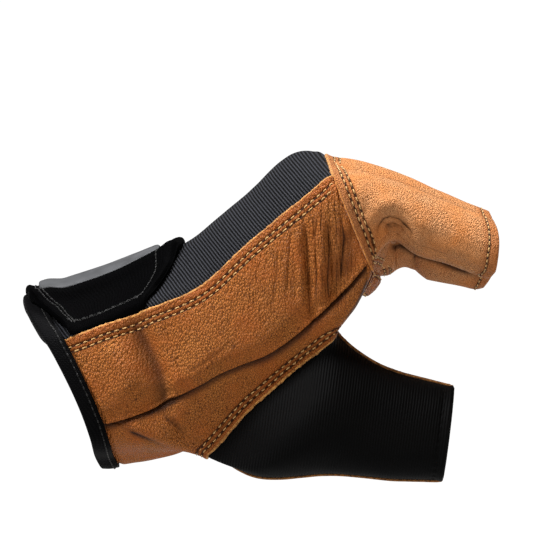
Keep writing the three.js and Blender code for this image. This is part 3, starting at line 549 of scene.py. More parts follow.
def skin_at(rows, columns):
    """Points and normals of the palm's skin at rows and columns of the net."""
    rows = np.clip(np.asarray(rows, float) * GRID_STEPS, 0, CLOTH_LAST_ROW * GRID_STEPS - 1e-6)
    columns = np.asarray(columns, float) * GRID_STEPS
    low_row, low_column = np.floor(rows).astype(int), np.floor(columns).astype(int)
    points = normals = 0
    for i, j in itertools.product((0, 1), (0, 1)):
        weight = np.abs(1 - i - (rows - low_row)) * np.abs(1 - j - (columns - low_column))
        corner = grid[low_row + i, (low_column + j) % grid.shape[1]]
        points = points + skins[FINE]["points"][corner] * weight[..., None]
        normals = normals + skins[FINE]["normals"][corner] * weight[..., None]
    return points, normals / np.linalg.norm(normals, axis=-1, keepdims=True)


# Seams
# A panel that laps over its neighbour ends in a cut, raw edge and is sewn down with two rows of stitches.
# The one below runs on under it. Along the fold of the hand the leather's edge is turned under, and a
# stall's end is hemmed.
LEATHER_WALL = 1.5 * MM
CLOTH_WALL = 1.5 * MM
LEATHER_PROUD = 0.6 * MM
# Each rim: the panel's height at its edge, outside and inside, and its section: out past the seam, and up
RIMS = {
    "raw": (0.8, -0.15, [(0.22, 0.8), (0.55, 0.76), (0.82, 0.62), (0.92, 0.36), (0.8, 0.08), (0.3, 0.02)]),
    "skived": (0.75, -0.15, [(0.2, 0.74), (0.42, 0.66), (0.58, 0.5), (0.62, 0.28), (0.5, 0.06), (0.2, 0.02)]),
    "tucked": (-0.04, -1.35, [(0.5, -0.1), (1, -0.14), (1.35, -0.2), (1.4, -0.6), (1.3, -1), (0.6, -1.3)]),
    "turned": (0.9, -0.7, [(0.2, 0.86), (0.42, 0.7), (0.54, 0.42), (0.5, 0.1), (0.34, -0.16), (0.12, -0.4)]),
    "sunk": (-0.8, -1.8, [(0.3, -0.9), (0.6, -1), (0.9, -1.1), (0.95, -1.3), (0.85, -1.5), (0.5, -1.7)]),
    "hemmed": (0.55, -1.45, [(0.3, 0.45), (0.62, 0.15), (0.78, -0.3), (0.74, -0.8), (0.5, -1.2),
                             (0.2, -1.42)]),
    "butted": (-0.05, -1.4, [(0.06, -0.25), (0.1, -0.5), (0.12, -0.75), (0.12, -0.95), (0.08, -1.15),
                             (0, -1.3)]),
    "bound": (0, -1.45, [(0, -0.25), (0, -0.5), (0, -0.75), (0, -0.95), (0, -1.15), (0, -1.35)]),
}
CUT_RIMS = ("raw", "skived")
# How ragged a cut is, by its rim's kind, and how much of that each point of the edge's section takes
RAGGED = {"raw": 1, "skived": 0.3, "turned": 0.4}
FRAYED = np.array([0, 0.5, 1, 1, 1, 0.5])
SIDE_ROWS = (2.3, 4.1)
THUMB_ROWS = (1.5, 3.3)
HEM_ROWS = (2.6,)
# Which panel laps over which, the rim of each, and where the stitch rows run, in from the upper one's edge
LAPS = {
    ("side_leather", "back_cloth"): ("raw", "tucked", SIDE_ROWS),
    ("palm_leather", "back_cloth"): ("raw", "tucked", SIDE_ROWS),
    ("side_leather", "palm_leather"): ("turned", "sunk", ()),
    ("palm_leather", "thumb_cloth"): ("raw", "tucked", THUMB_ROWS),
    ("palm_leather", "thumb_leather"): ("raw", "tucked", THUMB_ROWS),
    ("thumb_leather", "thumb_cloth"): ("raw", "tucked", THUMB_ROWS[:1]),
}
for stall in STALLS:
    LAPS[stall, "back_cloth"] = ("raw", "tucked", SIDE_ROWS)
    for other in ("side_leather", "palm_leather"):
        LAPS[stall, other] = ("skived", "tucked", SIDE_ROWS)
for pair in itertools.permutations(STALLS, 2):
    LAPS[pair] = ("butted", "butted", ())


def rim_of(name, other):
    """The rim of panel name where it meets other, and its stitch rows."""
    if other is None:
        return ("hemmed", HEM_ROWS) if name in STALLS or name.startswith("thumb") else ("bound", ())
    if (name, other) in LAPS:
        upper, _, rows = LAPS[name, other]
        return upper, rows
    return LAPS[other, name][1], ()


STITCH_PITCH = 2.75 * MM
GROOVE = 0.36 * MM
GROOVE_WIDTH = 0.5 * MM
PUCKER = 0.35
FRAY = 0.22 * MM
FRAY_SIZES = (1.6 * MM, 0.5 * MM)
# Rows of the net under the binding, and how wide the painted shadow lies beside a lapped edge
BINDING_REACH = 0.8
SHADOW_WIDTH = 2.8 * MM
SUNK_BELOW = -0.3 * MM
OUTER_EASE, INNER_EASE = 1.3 * MM, 1.6 * MM
# Columns of a rim's table: its two heights, whether it is cut and sewn, and how far in its stitch rows are
OUTSIDE, INSIDE, CUT, SEWN, FIRST_ROW, SECOND_ROW = range(6)
# Materials of a panel: its face, a thick cut edge, its inside, a skived edge
FACE, CUT_EDGE, LINING, THIN_EDGE = range(4)
UNSEWN = 9


def averaged(values, reach):
    """A running mean round a closed loop."""
    total = sum(np.roll(values, shift, axis=0) for shift in range(-reach, reach + 1))
    return total / (2 * reach + 1)


def loops_of(skin, name):
    """A panel's faces and its closed rims: points in order, panel on the left, each with what lies across."""
    number = PANELS.index(name)
    mine = skin["panels"] == number
    faces, across = skin["faces"][mine], skin["across"][mine]
    rim = across != number
    starts, ends, others = faces[rim], np.roll(faces, -1, 1)[rim], across[rim]
    following = {a: (b, other) for a, b, other in zip(starts.tolist(), ends.tolist(), others.tolist())}
    loops = []
    while following:
        here = next(iter(following))
        loop = []
        while here in following:
            after, other = following.pop(here)
            loop.append((here, other))
            here = after
        loops.append(loop)
    return faces, loops


def seam_data(skin, name, loop):
    """What the panel needs to know at each point of one of its rims."""
    index = np.array([i for i, _ in loop])
    points, normals = skin["points"][index], skin["normals"][index]
    step = np.roll(points, -1, 0) - points
    lengths = np.linalg.norm(step, axis=1)
    inward = np.cross(normals, step / lengths[:, None])
    inward = averaged(inward + np.roll(inward, 1, 0), 2)
    inward /= np.linalg.norm(inward, axis=1, keepdims=True)
    kinds = [rim_of(name, None if other < 0 else PANELS[other]) for _, other in loop]
    table = [(*RIMS[kind][:2], kind in CUT_RIMS, len(rows) > 0, *(rows + (NOWHERE, NOWHERE))[:2])
             for kind, rows in kinds]
    reach = max(1, round(0.8 * MM / np.median(lengths)))
    section = averaged(np.array([RIMS[kind][2] for kind, _ in kinds]), reach) * MM
    ragged = np.array([RAGGED.get(kind, 0) for kind, _ in kinds])
    for size in FRAY_SIZES:
        fray = np.array([noise.noise(Vector(p / size)) for p in points]) * FRAY * ragged
        section[:, :, 0] += fray[:, None] * FRAYED
    return {"index": index, "points": points, "normals": normals, "inward": inward, "section": section,
            "kinds": kinds, "walked": np.concatenate([[0], np.cumsum(lengths)[:-1]]),
            "skived": np.array([kind == "skived" for kind, _ in kinds]),
            "edge": averaged(np.array(table), reach) * np.array([MM, MM, 1, 1, MM, MM])}


def smoothstep(low, high, x):
    t = np.clip((x - low) / (high - low), 0, 1)
    return t * t * (3 - 2 * t)


def mark(mesh, label, values):
    mesh.attributes.new(label, "FLOAT", "POINT").data.foreach_set("value", np.asarray(values, np.float32))


def cut_panel(name, level, wall, proud, lift=None):
    """Cuts a panel from the skin and gives it its thickness, its rims and the grooves of its stitch rows."""
    skin = skins[level]
    faces, loops = loops_of(skin, name)
    seams = [seam_data(skin, name, loop) for loop in loops]
    used, faces = np.unique(faces, return_inverse=True)
    faces = faces.reshape(-1, 4)
    points, normals, place = (skin[label][used] for label in ("points", "normals", "place"))

    rim_points, rim_edge, rim_walked = (np.concatenate([seam[label] for seam in seams])
                                        for label in ("points", "edge", "walked"))
    tree = KDTree(len(rim_points))
    for i, p in enumerate(rim_points):
        tree.insert(p, i)
    tree.balance()
    nearest = np.array([tree.find(p)[1:] for p in points])
    which, away = nearest[:, 0].astype(int), nearest[:, 1]
    edge = rim_edge[which]

    bare = smoothstep(BINDING_REACH, BINDING_REACH + 0.25, place[:, 1])
    height = (proud + (edge[:, OUTSIDE] - proud) * bell(away, OUTER_EASE)) * bare
    pucker = 1 - PUCKER + PUCKER * np.cos(2 * np.pi * rim_walked[which] / STITCH_PITCH)
    for row in (FIRST_ROW, SECOND_ROW):
        groove = bell(away - edge[:, row], GROOVE_WIDTH)
        height -= GROOVE * pucker * groove * smoothstep(0.4, 0.9, edge[:, SEWN]) * bare
    if lift is not None:
        height += lift(place)
    under = height - wall
    under += (edge[:, INSIDE] - edge[:, OUTSIDE] + wall) * bell(away, INNER_EASE)
    outer, inner = points + height[:, None] * normals, points + under[:, None] * normals

    count = len(points)
    vertices, quads = [outer, inner], [faces, faces[:, ::-1] + count]
    looks = [np.full(len(faces), FACE), np.full(len(faces), LINING)]
    source = [np.arange(count), np.arange(count)]
    total = 2 * count
    local = {i: n for n, i in enumerate(used.tolist())}
    for seam in seams:
        here = np.array([local[i] for i in seam["index"].tolist()])
        rows = [here]
        raised = height[here] - seam["edge"][:, OUTSIDE]
        steps = seam["section"].shape[1]
        for k in range(steps):
            past, rise = seam["section"][:, k, 0], seam["section"][:, k, 1]
            fade = 1 - k / (steps - 1)
            vertices.append(seam["points"] - seam["inward"] * past[:, None]
                            + seam["normals"] * (rise + raised * (0.4 + 0.6 * fade))[:, None])
            rows.append(np.arange(total, total + len(here)))
            total += len(here)
            source.append(here)
        rows.append(here + count)
        for k, (a, b) in enumerate(zip(rows, rows[1:])):
            quads.append(np.stack([np.roll(a, -1), a, b, np.roll(b, -1)], 1))
            is_cut = (seam["edge"][:, CUT] > 0.5) & (1 <= k < steps)
            cut = np.where(seam["skived"], THIN_EDGE, CUT_EDGE)
            looks.append(np.where(is_cut, cut, FACE if k < steps - 1 else LINING))
    mesh = smooth_mesh(name, np.concatenate(vertices), np.concatenate(quads))
    mesh.polygons.foreach_set("material_index", np.concatenate(looks))

    # Painted shadow on the lower panel beside a lapped edge, added to the painted shade of creases and gaps
    shadow = SHADOW_WIDTH * np.clip(-normals[:, 1], 0.4, 1) ** -1.5
    sunk = np.exp(-(away / shadow) ** 4) * (edge[:, OUTSIDE] < SUNK_BELOW)
    marks = {"crease_shade": np.clip(skin["dark"][used] + sunk, 0, 1)}
    for label, start in (("seam", 0), ("first_row", edge[:, FIRST_ROW]), ("second_row", edge[:, SECOND_ROW])):
        marks[label] = np.where(edge[:, SEWN] > 0.5, (away - start) / MM, UNSEWN)
    marks.update((label, mask[used]) for label, mask in skin["masks"].items())
    for label, values in marks.items():
        mark(mesh, label, values[np.concatenate(source)])
    made = link(name + "_sewn", mesh)
    return {"object": made, "seams": seams, "outer": outer, "faces": faces, "tree": tree}


def stand_for(made, solid, slot, *materials):
    """Gives a piece its materials and puts it in its solid's place."""
    for material in materials:
        made.data.materials.append(material)
    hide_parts(solid)
    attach(made, "root")


# Side leather
# Goatskin, drum dyed tan with a pebbled grain: a strip down the index side from cuff to finger seam, lapped
# over the back's cloth. Its cut edge shows the paler, fibrous inside of the hide, and its flesh side is a
# matt suede.
def linear(colour):
    """A linear colour from an sRGB hex value."""
    parts = [int(colour[i:i + 2], 16) / 255 for i in (1, 3, 5)]
    return (*(c / 12.92 if c <= 0.04045 else ((c + 0.055) / 1.055) ** 2.4 for c in parts), 1)


def node(tree, kind, inputs=None, **settings):
    """Adds a node with its settings. Each of the inputs gets a value, or another node's output."""
    made = tree.nodes.new(kind)
    for key, value in settings.items():
        setattr(made, key, value)
    for key, value in (inputs or {}).items():
        if isinstance(value, bpy.types.NodeSocket):
            tree.links.new(value, made.inputs[key])
        else:
            made.inputs[key].default_value = value
    return made


def calc(tree, operation, *terms):
    return node(tree, "ShaderNodeMath", dict(enumerate(terms)), operation=operation).outputs[0]


def ranged(tree, value, given, wanted, **settings):
    """The value, brought from the given range into the wanted one."""
    inputs = dict(zip(("Value", "From Min", "From Max", "To Min", "To Max"), (value, *given, *wanted)))
    return node(tree, "ShaderNodeMapRange", inputs, **settings).outputs[0]


def cloud(tree, spot, size, detail, output="Fac", **inputs):
    """Noise whose blobs have about that size."""
    inputs = {"Vector": spot, "Scale": 1 / size, "Detail": detail, **inputs}
    return node(tree, "ShaderNodeTexNoise", inputs).outputs[output]


def attribute(tree, label):
    return node(tree, "ShaderNodeAttribute", attribute_name=label).outputs["Fac"]


def two_tones(tree, value, dark, pale, spread=(0.0, 1.0)):
    """The dark colour turning into the pale one over that spread of the value."""
    ramp = node(tree, "ShaderNodeValToRGB", {"Fac": value})
    for stop, position, colour in zip(ramp.color_ramp.elements, spread, (dark, pale)):
        stop.position, stop.color = position, linear(colour)
    return ramp.outputs["Color"]


def blend(tree, share, below, over):
    """The colour below, covered to that share by an even one."""
    inputs = {"Factor": share, "A": below, "B": linear(over)}
    return node(tree, "ShaderNodeMix", inputs, data_type="RGBA").outputs["Result"]


def new_material(name):
    """A material, its empty tree, and the place on the object."""
    material = bpy.data.materials.new(name)
    material.use_nodes = True
    material.node_tree.nodes.clear()
    return material, material.node_tree, node(material.node_tree, "ShaderNodeTexCoord").outputs["Object"]


def surfaced(material, height, strength, depth, inputs):
    """Ends a material: a relief from the height, at that strength and depth, and the surface's own values."""
    tree = material.node_tree
    relief = node(tree, "ShaderNodeBump", {"Height": height, "Strength": strength, "Distance": depth})
    shader = node(tree, "ShaderNodeBsdfPrincipled", {"Normal": relief.outputs["Normal"], **inputs})
    node(tree, "ShaderNodeOutputMaterial", {"Surface": shader.outputs[0]})
    return material


WRINKLE_LENGTH = 15 * MM
WRINKLE_SPACING = 1.9 * MM
WRINKLE_LINE = 0.15


def wrinkles(tree, spot, label, heading):
    """Fine wrinkles along the heading, an angle up from +X, where the attribute asks for them."""
    angle = math.radians(heading)
    ways = {"X": ((math.cos(angle), 0, math.sin(angle)), WRINKLE_LENGTH), "Y": ((0, 1, 0), WRINKLE_LENGTH),
            "Z": ((-math.sin(angle), 0, math.cos(angle)), WRINKLE_SPACING)}
    parts = {}
    for axis, (way, size) in ways.items():
        inputs = {0: spot, 1: tuple(c / size for c in way)}
        parts[axis] = node(tree, "ShaderNodeVectorMath", inputs, operation="DOT_PRODUCT").outputs["Value"]
    streak = cloud(tree, node(tree, "ShaderNodeCombineXYZ", parts).outputs[0], 1, 1)
    away = calc(tree, "ABSOLUTE", calc(tree, "SUBTRACT", streak, 0.5))
    return calc(tree, "MULTIPLY", ranged(tree, away, (0, WRINKLE_LINE), (1, 0)), attribute(tree, label))


LEATHER_TONES = ("#461d07", "#ad5f25", "#c97e3c")
# The seam band's own reddish colour, and the dark brown that painted shade turns the hide to
SEAM_TONE, SHADE_TONE = "#874318", "#200b02"
GRAIN_ACROSS, GRAIN_ALONG, GRAIN_BEND = 0.66 * MM, 0.95 * MM, 0.5 * MM
GRAIN_DEPTH = 1.2 * MM
PATCHY, FINE_GRAIN = 9 * MM, 0.35 * MM
VALLEY_WIDTH = 0.15
HEADINGS = {"slanted": -20, "upright": 92}
# How far a band reddened by handling reaches from a seam, and a stitch row's line of painted shade, in
# millimetres
SEAM_BAND = (3.6, 5.2)
ROW_LINE = (0.1, 0.75)
# How much each kind of mark darkens the hide, with dye in the valleys and the seam band and with painted
# shade in wrinkles, stitch rows and creases, and how far each goes into the grain's relief
VALLEY_DYE, BAND_DYE, ROW_SHADE, WRINKLE_SHADE, SHADE_STRENGTH = 0.9, 0.4, 0.9, 0.3, 0.96
FINE_HEIGHT, WRINKLE_HEIGHT, ROW_HEIGHT = 0.3, -0.9, -0.5


def pebbled_leather(name, tones=LEATHER_TONES, grain=1.0, shine=0.2):
    """Drum-dyed goatskin: rounded pebbles in a web of fine valleys, where the dye has gone darker."""
    material, tree, spot = new_material(name)
    drift = cloud(tree, spot, 4 * MM, 2, "Color")
    bend = node(tree, "ShaderNodeVectorMath", {0: drift, "Scale": GRAIN_BEND}, operation="SCALE").outputs[0]
    bent = node(tree, "ShaderNodeVectorMath", {0: spot, 1: bend}, operation="ADD").outputs[0]
    across, along = GRAIN_ACROSS * grain, GRAIN_ALONG * grain
    sized = {"Vector": bent, "Scale": (1 / across, 1 / along, 1 / along)}
    cells = {"Vector": node(tree, "ShaderNodeMapping", sized).outputs[0], "Scale": 1}
    domes = node(tree, "ShaderNodeTexVoronoi", {**cells, "Smoothness": 0.35}, feature="SMOOTH_F1")
    cracks = node(tree, "ShaderNodeTexVoronoi", cells, feature="DISTANCE_TO_EDGE")
    valley = ranged(tree, cracks.outputs["Distance"], (0, VALLEY_WIDTH), (1, 0))
    patchy, fine = cloud(tree, spot, PATCHY, 3), cloud(tree, spot, FINE_GRAIN, 3)
    # Painted shade of creases, gaps, the index finger's recess and the shadow beside lapped edges
    crease_shade = attribute(tree, "crease_shade")
    lines = [ranged(tree, calc(tree, "ABSOLUTE", attribute(tree, label)), ROW_LINE, (1, 0),
                    interpolation_type="SMOOTHSTEP") for label in ("first_row", "second_row")]
    row = calc(tree, "MAXIMUM", *lines)
    wrinkle = calc(tree, "MAXIMUM", *(wrinkles(tree, spot, *pair) for pair in HEADINGS.items()))
    coarse, smoothed = ranged(tree, patchy, (0.3, 0.6), (0.5, 1)), ranged(tree, crease_shade, (0, 1), (1, 0.25))
    strength = calc(tree, "MULTIPLY", coarse, smoothed)

    deep, middle, pale = tones
    hide = two_tones(tree, patchy, middle, pale, (0.30, 0.72))
    webbed = calc(tree, "MULTIPLY", calc(tree, "MULTIPLY", valley, VALLEY_DYE), strength)
    speck = ranged(tree, fine, (0.35, 0.7), (0.8, 1.12))
    specked = {0: blend(tree, webbed, hide, deep), "Scale": speck}
    lit = node(tree, "ShaderNodeVectorMath", specked, operation="SCALE").outputs[0]
    band = ranged(tree, attribute(tree, "seam"), SEAM_BAND, (1, 0))
    banded = blend(tree, calc(tree, "MULTIPLY", band, BAND_DYE), lit, SEAM_TONE)
    # Painted shade: wrinkles, stitch rows and the painted shade of creases darken the colour towards dark
    # brown
    faint, drawn = calc(tree, "MULTIPLY", wrinkle, WRINKLE_SHADE), calc(tree, "MULTIPLY", row, ROW_SHADE)
    steep = calc(tree, "POWER", calc(tree, "MAXIMUM", crease_shade, calc(tree, "MAXIMUM", faint, drawn)), 1.5)
    colour = blend(tree, calc(tree, "MULTIPLY", steep, SHADE_STRENGTH), banded, SHADE_TONE)

    pebbles = calc(tree, "MULTIPLY", calc(tree, "MULTIPLY", domes.outputs["Distance"], -1), strength)
    height = calc(tree, "ADD", pebbles, calc(tree, "MULTIPLY", fine, FINE_HEIGHT))
    height = calc(tree, "MULTIPLY_ADD", wrinkle, WRINKLE_HEIGHT, height)
    height = calc(tree, "MULTIPLY_ADD", row, ROW_HEIGHT, height)
    gloss = ranged(tree, patchy, (0, 1), (0.45, 0.65))
    return surfaced(material, height, 1, GRAIN_DEPTH * grain,
                    {"Base Color": colour, "Roughness": gloss, "Specular IOR Level": shine, "IOR": 1.45})


def fibrous(name, dark, pale, size, rough, depth):
    """Bare hide fibres, or brushed suede: matt, and mottled at the size of the fibre bundles."""
    material, tree, spot = new_material(name)
    fibre = cloud(tree, spot, size, 4, Roughness=0.65)
    colour = two_tones(tree, fibre, dark, pale, (0.34, 0.62))
    return surfaced(material, fibre, 0.8, depth,
                    {"Base Color": colour, "Roughness": rough, "Specular IOR Level": 0.2,
                     "Sheen Weight": 0.2})


leather = pebbled_leather("pebbled_goatskin")
raw_edge = fibrous("cut_hide_edge", "#6e3f19", "#c48c49", 0.9 * MM, 0.9, 0.35 * MM)
skived_edge = fibrous("skived_hide_edge", "#8a4f22", "#c9853f", 0.9 * MM, 0.85, 0.2 * MM)
dull_edge = fibrous("worn_hide_edge", "#4a2c14", "#a06c36", 0.9 * MM, 0.9, 0.3 * MM)
suede = fibrous("flesh_side_suede", "#8a5a34", "#b98354", 0.8 * MM, 0.95, 0.15 * MM)

# The side leather is pushed up where the closure tab's end is caught under it: rows and columns of the net
TAB_ROWS = (1.15, 3.45)
TAB_LIFT = 0.55 * MM
LIFT_BEFORE, LIFT_AFTER, LIFT_COLUMNS = 0.25, 0.15, 0.35


def over_tab(place):
    rows = smoothstep(TAB_ROWS[0] - LIFT_BEFORE, TAB_ROWS[0] + LIFT_AFTER, place[:, 1])
    rows = rows * (1 - smoothstep(TAB_ROWS[1] - LIFT_AFTER, TAB_ROWS[1] + LIFT_BEFORE, place[:, 1]))
    beside = np.where(place[:, 0] < RING / 2, 1 - place[:, 0], 1)
    return TAB_LIFT * rows * (1 - smoothstep(0.0, LIFT_COLUMNS, beside))


side = cut_panel("side_leather", FINEST, LEATHER_WALL, LEATHER_PROUD, over_tab)
stand_for(side["object"], "side_leather", "leather", leather, raw_edge, suede)

# Palm leather
# The same hide, from the fold of the hand round the heel and the palm to the little-finger side, with the
# thumb's opening cut out of it. It laps over the thumb and, on the far side, over the back's cloth.
palm = cut_panel("palm_leather", FINE, LEATHER_WALL, LEATHER_PROUD)
stand_for(palm["object"], "palm_leather", "leather", leather, raw_edge, suede)

# Back cloth
# Black stretch cloth with a raised rib every millimetre, running across the hand, over foam that keeps it
# smooth. Knitted nylon: matt in the furrows, with a dull shine along each rib, painted in as a paler colour
# on the ribs' tops.
RIB_PITCH = 1.0 * MM
RIB_HEADING = 43
RIB_SWAY = 2.5
YARN_SIZE = 0.3 * MM


def ribbed_cloth(name, heading, pitch, furrow, rib, depth):
    """Ribs are planes across the heading, an angle in degrees from +X up towards +Z."""
    material, tree, spot = new_material(name)
    along = {0: spot, 1: (math.cos(math.radians(heading)), 0, math.sin(math.radians(heading)))}
    way = node(tree, "ShaderNodeVectorMath", along, operation="DOT_PRODUCT").outputs["Value"]
    turn = calc(tree, "MULTIPLY", way, 2 * math.pi / pitch)
    swayed = calc(tree, "MULTIPLY_ADD", cloud(tree, spot, 14 * MM, 1), RIB_SWAY, turn)
    height = ranged(tree, calc(tree, "SINE", swayed), (-1, 1), (0, 1))
    mixed = calc(tree, "MULTIPLY_ADD", cloud(tree, spot, YARN_SIZE, 2), 0.25, height)
    # Painted highlight: the ribs' tops are coloured paler than the furrows
    colour = two_tones(tree, height, furrow, rib, (0.25, 0.95))
    return surfaced(material, mixed, 0.8, depth,
                    {"Base Color": colour, "Roughness": 0.65, "IOR": 1.15, "Sheen Weight": 0.01,
                     "Sheen Roughness": 0.4})


back_ribs = ribbed_cloth("ribbed_stretch_nylon", RIB_HEADING, RIB_PITCH, "#020203", "#303136", 0.32 * MM)
back = cut_panel("back_cloth", FINE, CLOTH_WALL, 0.0)
stand_for(back["object"], "back_cloth", "stretch_cloth", back_ribs, back_ribs, back_ribs)

# Thumb
# Its near side is a smoother stretch cloth whose fine ribs hardly show, and its far side is leather lapped
# over it.
THUMB_HEADING = -8
thumb_ribs = ribbed_cloth("fine_stretch_nylon", THUMB_HEADING, 0.9 * MM, "#010101", "#030304", 0.14 * MM)
thumb_cloth = cut_panel("thumb_cloth", FINEST, CLOTH_WALL, 0.0)
stand_for(thumb_cloth["object"], "thumb_cloth", "stretch_cloth", thumb_ribs, thumb_ribs, thumb_ribs)
thumb_leather = cut_panel("thumb_leather", FINEST, LEATHER_WALL, LEATHER_PROUD)
stand_for(thumb_leather["object"], "thumb_leather", "leather", leather, dull_edge, suede)

# Finger stalls
# Four half-finger tubes of the thinnest, palest part of the hide, sewn over the ends of the palm and the
# back, with their open ends turned in and hemmed. Their paler colour also holds painted light, for the
# brighter light on the fingers' tops.
stall_leather = pebbled_leather("stall_goatskin", ("#74390f", "#c98148", "#e8ac78"), 0.6, 0.1)
stalls = {}
for stall in STALLS:
    stalls[stall] = cut_panel(stall, FINEST if stall == STALLS[0] else FINE, LEATHER_WALL, LEATHER_PROUD)
    stand_for(stalls[stall]["object"], stall, "leather", stall_leather, raw_edge, suede, skived_edge)

# Cuff binding
# A woven black tape folded over the wrist's raw edge, one leg outside and one inside, and sewn through near
# its edge.
BINDING_WALL = 1.0 * MM
BINDING_CROWN = 0.25 * MM
BINDING_ROW = 0.58
LAYER_GAP = 0.35 * MM
BINDING_TOP = LAYER_GAP + BINDING_WALL
BINDING_FLOOR = -CLOTH_WALL - LAYER_GAP
LEG_STEPS = 10
FOLD_STEPS = 9


def grid_solid(name, layers):
    """A mesh from a grid of points, shape (rows, columns, 3), whose rows and columns close on themselves."""
    index = np.arange(layers.shape[0] * layers.shape[1]).reshape(layers.shape[:2])
    below = np.roll(index, -1, 0)
    quads = np.stack([index, np.roll(index, -1, 1), np.roll(below, -1, 1), below], -1).reshape(-1, 4)
    return link(name, smooth_mesh(name, layers, quads))


def binding_section():
    """Points of the tape's section: row, how far past the wrist edge, and height."""
    leg = np.linspace(1, 0, LEG_STEPS)
    outside = [(r * BINDING_REACH, 0, BINDING_TOP + BINDING_CROWN * np.sin(np.pi * r)) for r in leg]
    radius = (BINDING_TOP - BINDING_FLOOR + BINDING_WALL) / 2
    middle = (BINDING_TOP + BINDING_FLOOR - BINDING_WALL) / 2
    turn = np.linspace(0, np.pi, FOLD_STEPS + 2)[1:-1]
    bend = [(0, (LAYER_GAP + BINDING_WALL) * np.sin(a) ** 0.7, middle + radius * np.cos(a)) for a in turn]
    inside = [(r, 0, BINDING_FLOOR - BINDING_WALL) for r in leg[::-1]]
    lower = [(r, 0, BINDING_FLOOR) for r in (1, 0.5, 0)]
    upper = [(r, 0, LAYER_GAP) for r in (0, 0.5, BINDING_REACH)]
    return outside + bend + inside + lower + [(0, LAYER_GAP, (BINDING_FLOOR + LAYER_GAP) / 2)] + upper


columns = np.arange(0, RING, 1 / GRID_STEPS)
edge_points, _ = skin_at(np.zeros(len(columns)), columns)
end_points, _ = skin_at(np.ones(len(columns)), columns)
outward = edge_points - end_points
outward /= np.linalg.norm(outward, axis=1, keepdims=True)
layers = []
for row, past, height in binding_section():
    points, normals = skin_at(np.full(len(columns), row), columns)
    layers.append(points + normals * height + outward * past)
binding = grid_solid("cuff_binding_tape", np.array(layers))


def woven_tape(name, tone, thread, pitch, depth):
    """Plain-woven nylon tape: two crossing sets of fine threads, almost matt."""
    material, tree, spot = new_material(name)
    waves = {"Vector": spot, "Scale": 1 / (2 * math.pi * pitch) * 2, "Distortion": 0.6}
    threads = (node(tree, "ShaderNodeTexWave", waves, bands_direction=way) for way in ("Z", "DIAGONAL"))
    weave = calc(tree, "MULTIPLY", *(wave.outputs["Fac"] for wave in threads))
    colour = two_tones(tree, weave, tone, thread)
    return surfaced(material, weave, 0.7, depth,
                    {"Base Color": colour, "Roughness": 0.7, "IOR": 1.12, "Sheen Weight": 0.01})


tape = woven_tape("woven_nylon_tape", "#020203", "#08080a", 0.6 * MM, 0.15 * MM)
stand_for(binding, "cuff_binding", "cuff_tape", tape)

# Closure tab
# A wide strap of matt black knit, caught under the side leather on the index side and closed on the far one.
# Both its long edges are turned under into a thick, round hem.
TAB_THICKNESS = 2.0 * MM
TAB_HEM = 0.8 * MM
# Sections across the tab: column of the palm's net, first and last row, share of the thickness
TAB_SECTIONS = np.array([
    (1.07, 1.15, 3.45, 0.35),
    (1.50, 1.08, 3.65, 0.85),
    (2.10, 1.00, 3.95, 1.00),
    (2.70, 0.75, 4.45, 1.00),
    (3.30, 0.10, 4.75, 1.00),
    (4.00, 0.00, 4.85, 1.00),
    (6.00, 0.00, 4.85, 1.00),
    (7.40, 0.10, 4.70, 1.00),
    (8.60, 0.50, 4.30, 0.90),
])
# Its profile across, as shares and how full the hem is there; then the roll where it bends over the hand
TAB_PROFILE = np.array([(0, 0.55), (0.05, 1), (0.12, 0.1), (0.24, 0),
                        (0.78, 0), (0.88, 0.1), (0.95, 1), (1, 0.55)])
TAB_ROLL = 2.6 * MM
TAB_ROLL_COLUMN, TAB_ROLL_WIDTH = 3.3, 0.27
# Rows of the net over which it comes down off the binding
OFF_BINDING = (1.08, 1.7)
TAB_GRID, TAB_EDGE = (121, 161), (0.03, 0.02)
# Where its stitch rows run: along it at these shares of its breadth, and across it at these of its length
TAB_LINES, TAB_END_LINES = (0.12, 0.16, 0.88), (0.075, 0.095)
STRAP_CORDS = 44


def tab_place(s, t):
    """Row and column of the palm's net under a place on the tab: shares s across it and t along it."""
    column = TAB_SECTIONS[0, 0] + (TAB_SECTIONS[-1, 0] - TAB_SECTIONS[0, 0]) * t
    first, last = (np.interp(column, TAB_SECTIONS[:, 0], TAB_SECTIONS[:, k]) for k in (1, 2))
    return first + (last - first) * s, column


def tab_under(s, t):
    return LAYER_GAP + BINDING_TOP * (1 - smoothstep(*OFF_BINDING, tab_place(s, t)[0]))


def tab_over(s, t):
    hem = TAB_HEM * np.interp(s, TAB_PROFILE[:, 0], TAB_PROFILE[:, 1])
    column = tab_place(s, t)[1]
    thickness = np.interp(column, TAB_SECTIONS[:, 0], TAB_SECTIONS[:, 3])
    roll = TAB_ROLL * bell(column - TAB_ROLL_COLUMN, TAB_ROLL_WIDTH)
    return tab_under(s, t) + (TAB_THICKNESS + hem) * thickness + roll


def rounded(share, edge):
    """How full a layer is near its two ends: a quarter circle over the share called edge."""
    inside = np.clip(np.minimum(share, 1 - share) / edge, 0, 1)
    return np.sqrt(np.clip(1 - (1 - inside) ** 2, 0, 1))


def eased(count, edge):
    """Shares from 0 to 1, crowded near both ends so that a round edge has enough points."""
    ends = edge * (1 - np.cos(np.linspace(0, np.pi / 2, 6)))
    return np.concatenate([ends[:-1], np.linspace(edge, 1 - edge, count - 10), 1 - ends[:-1][::-1]])


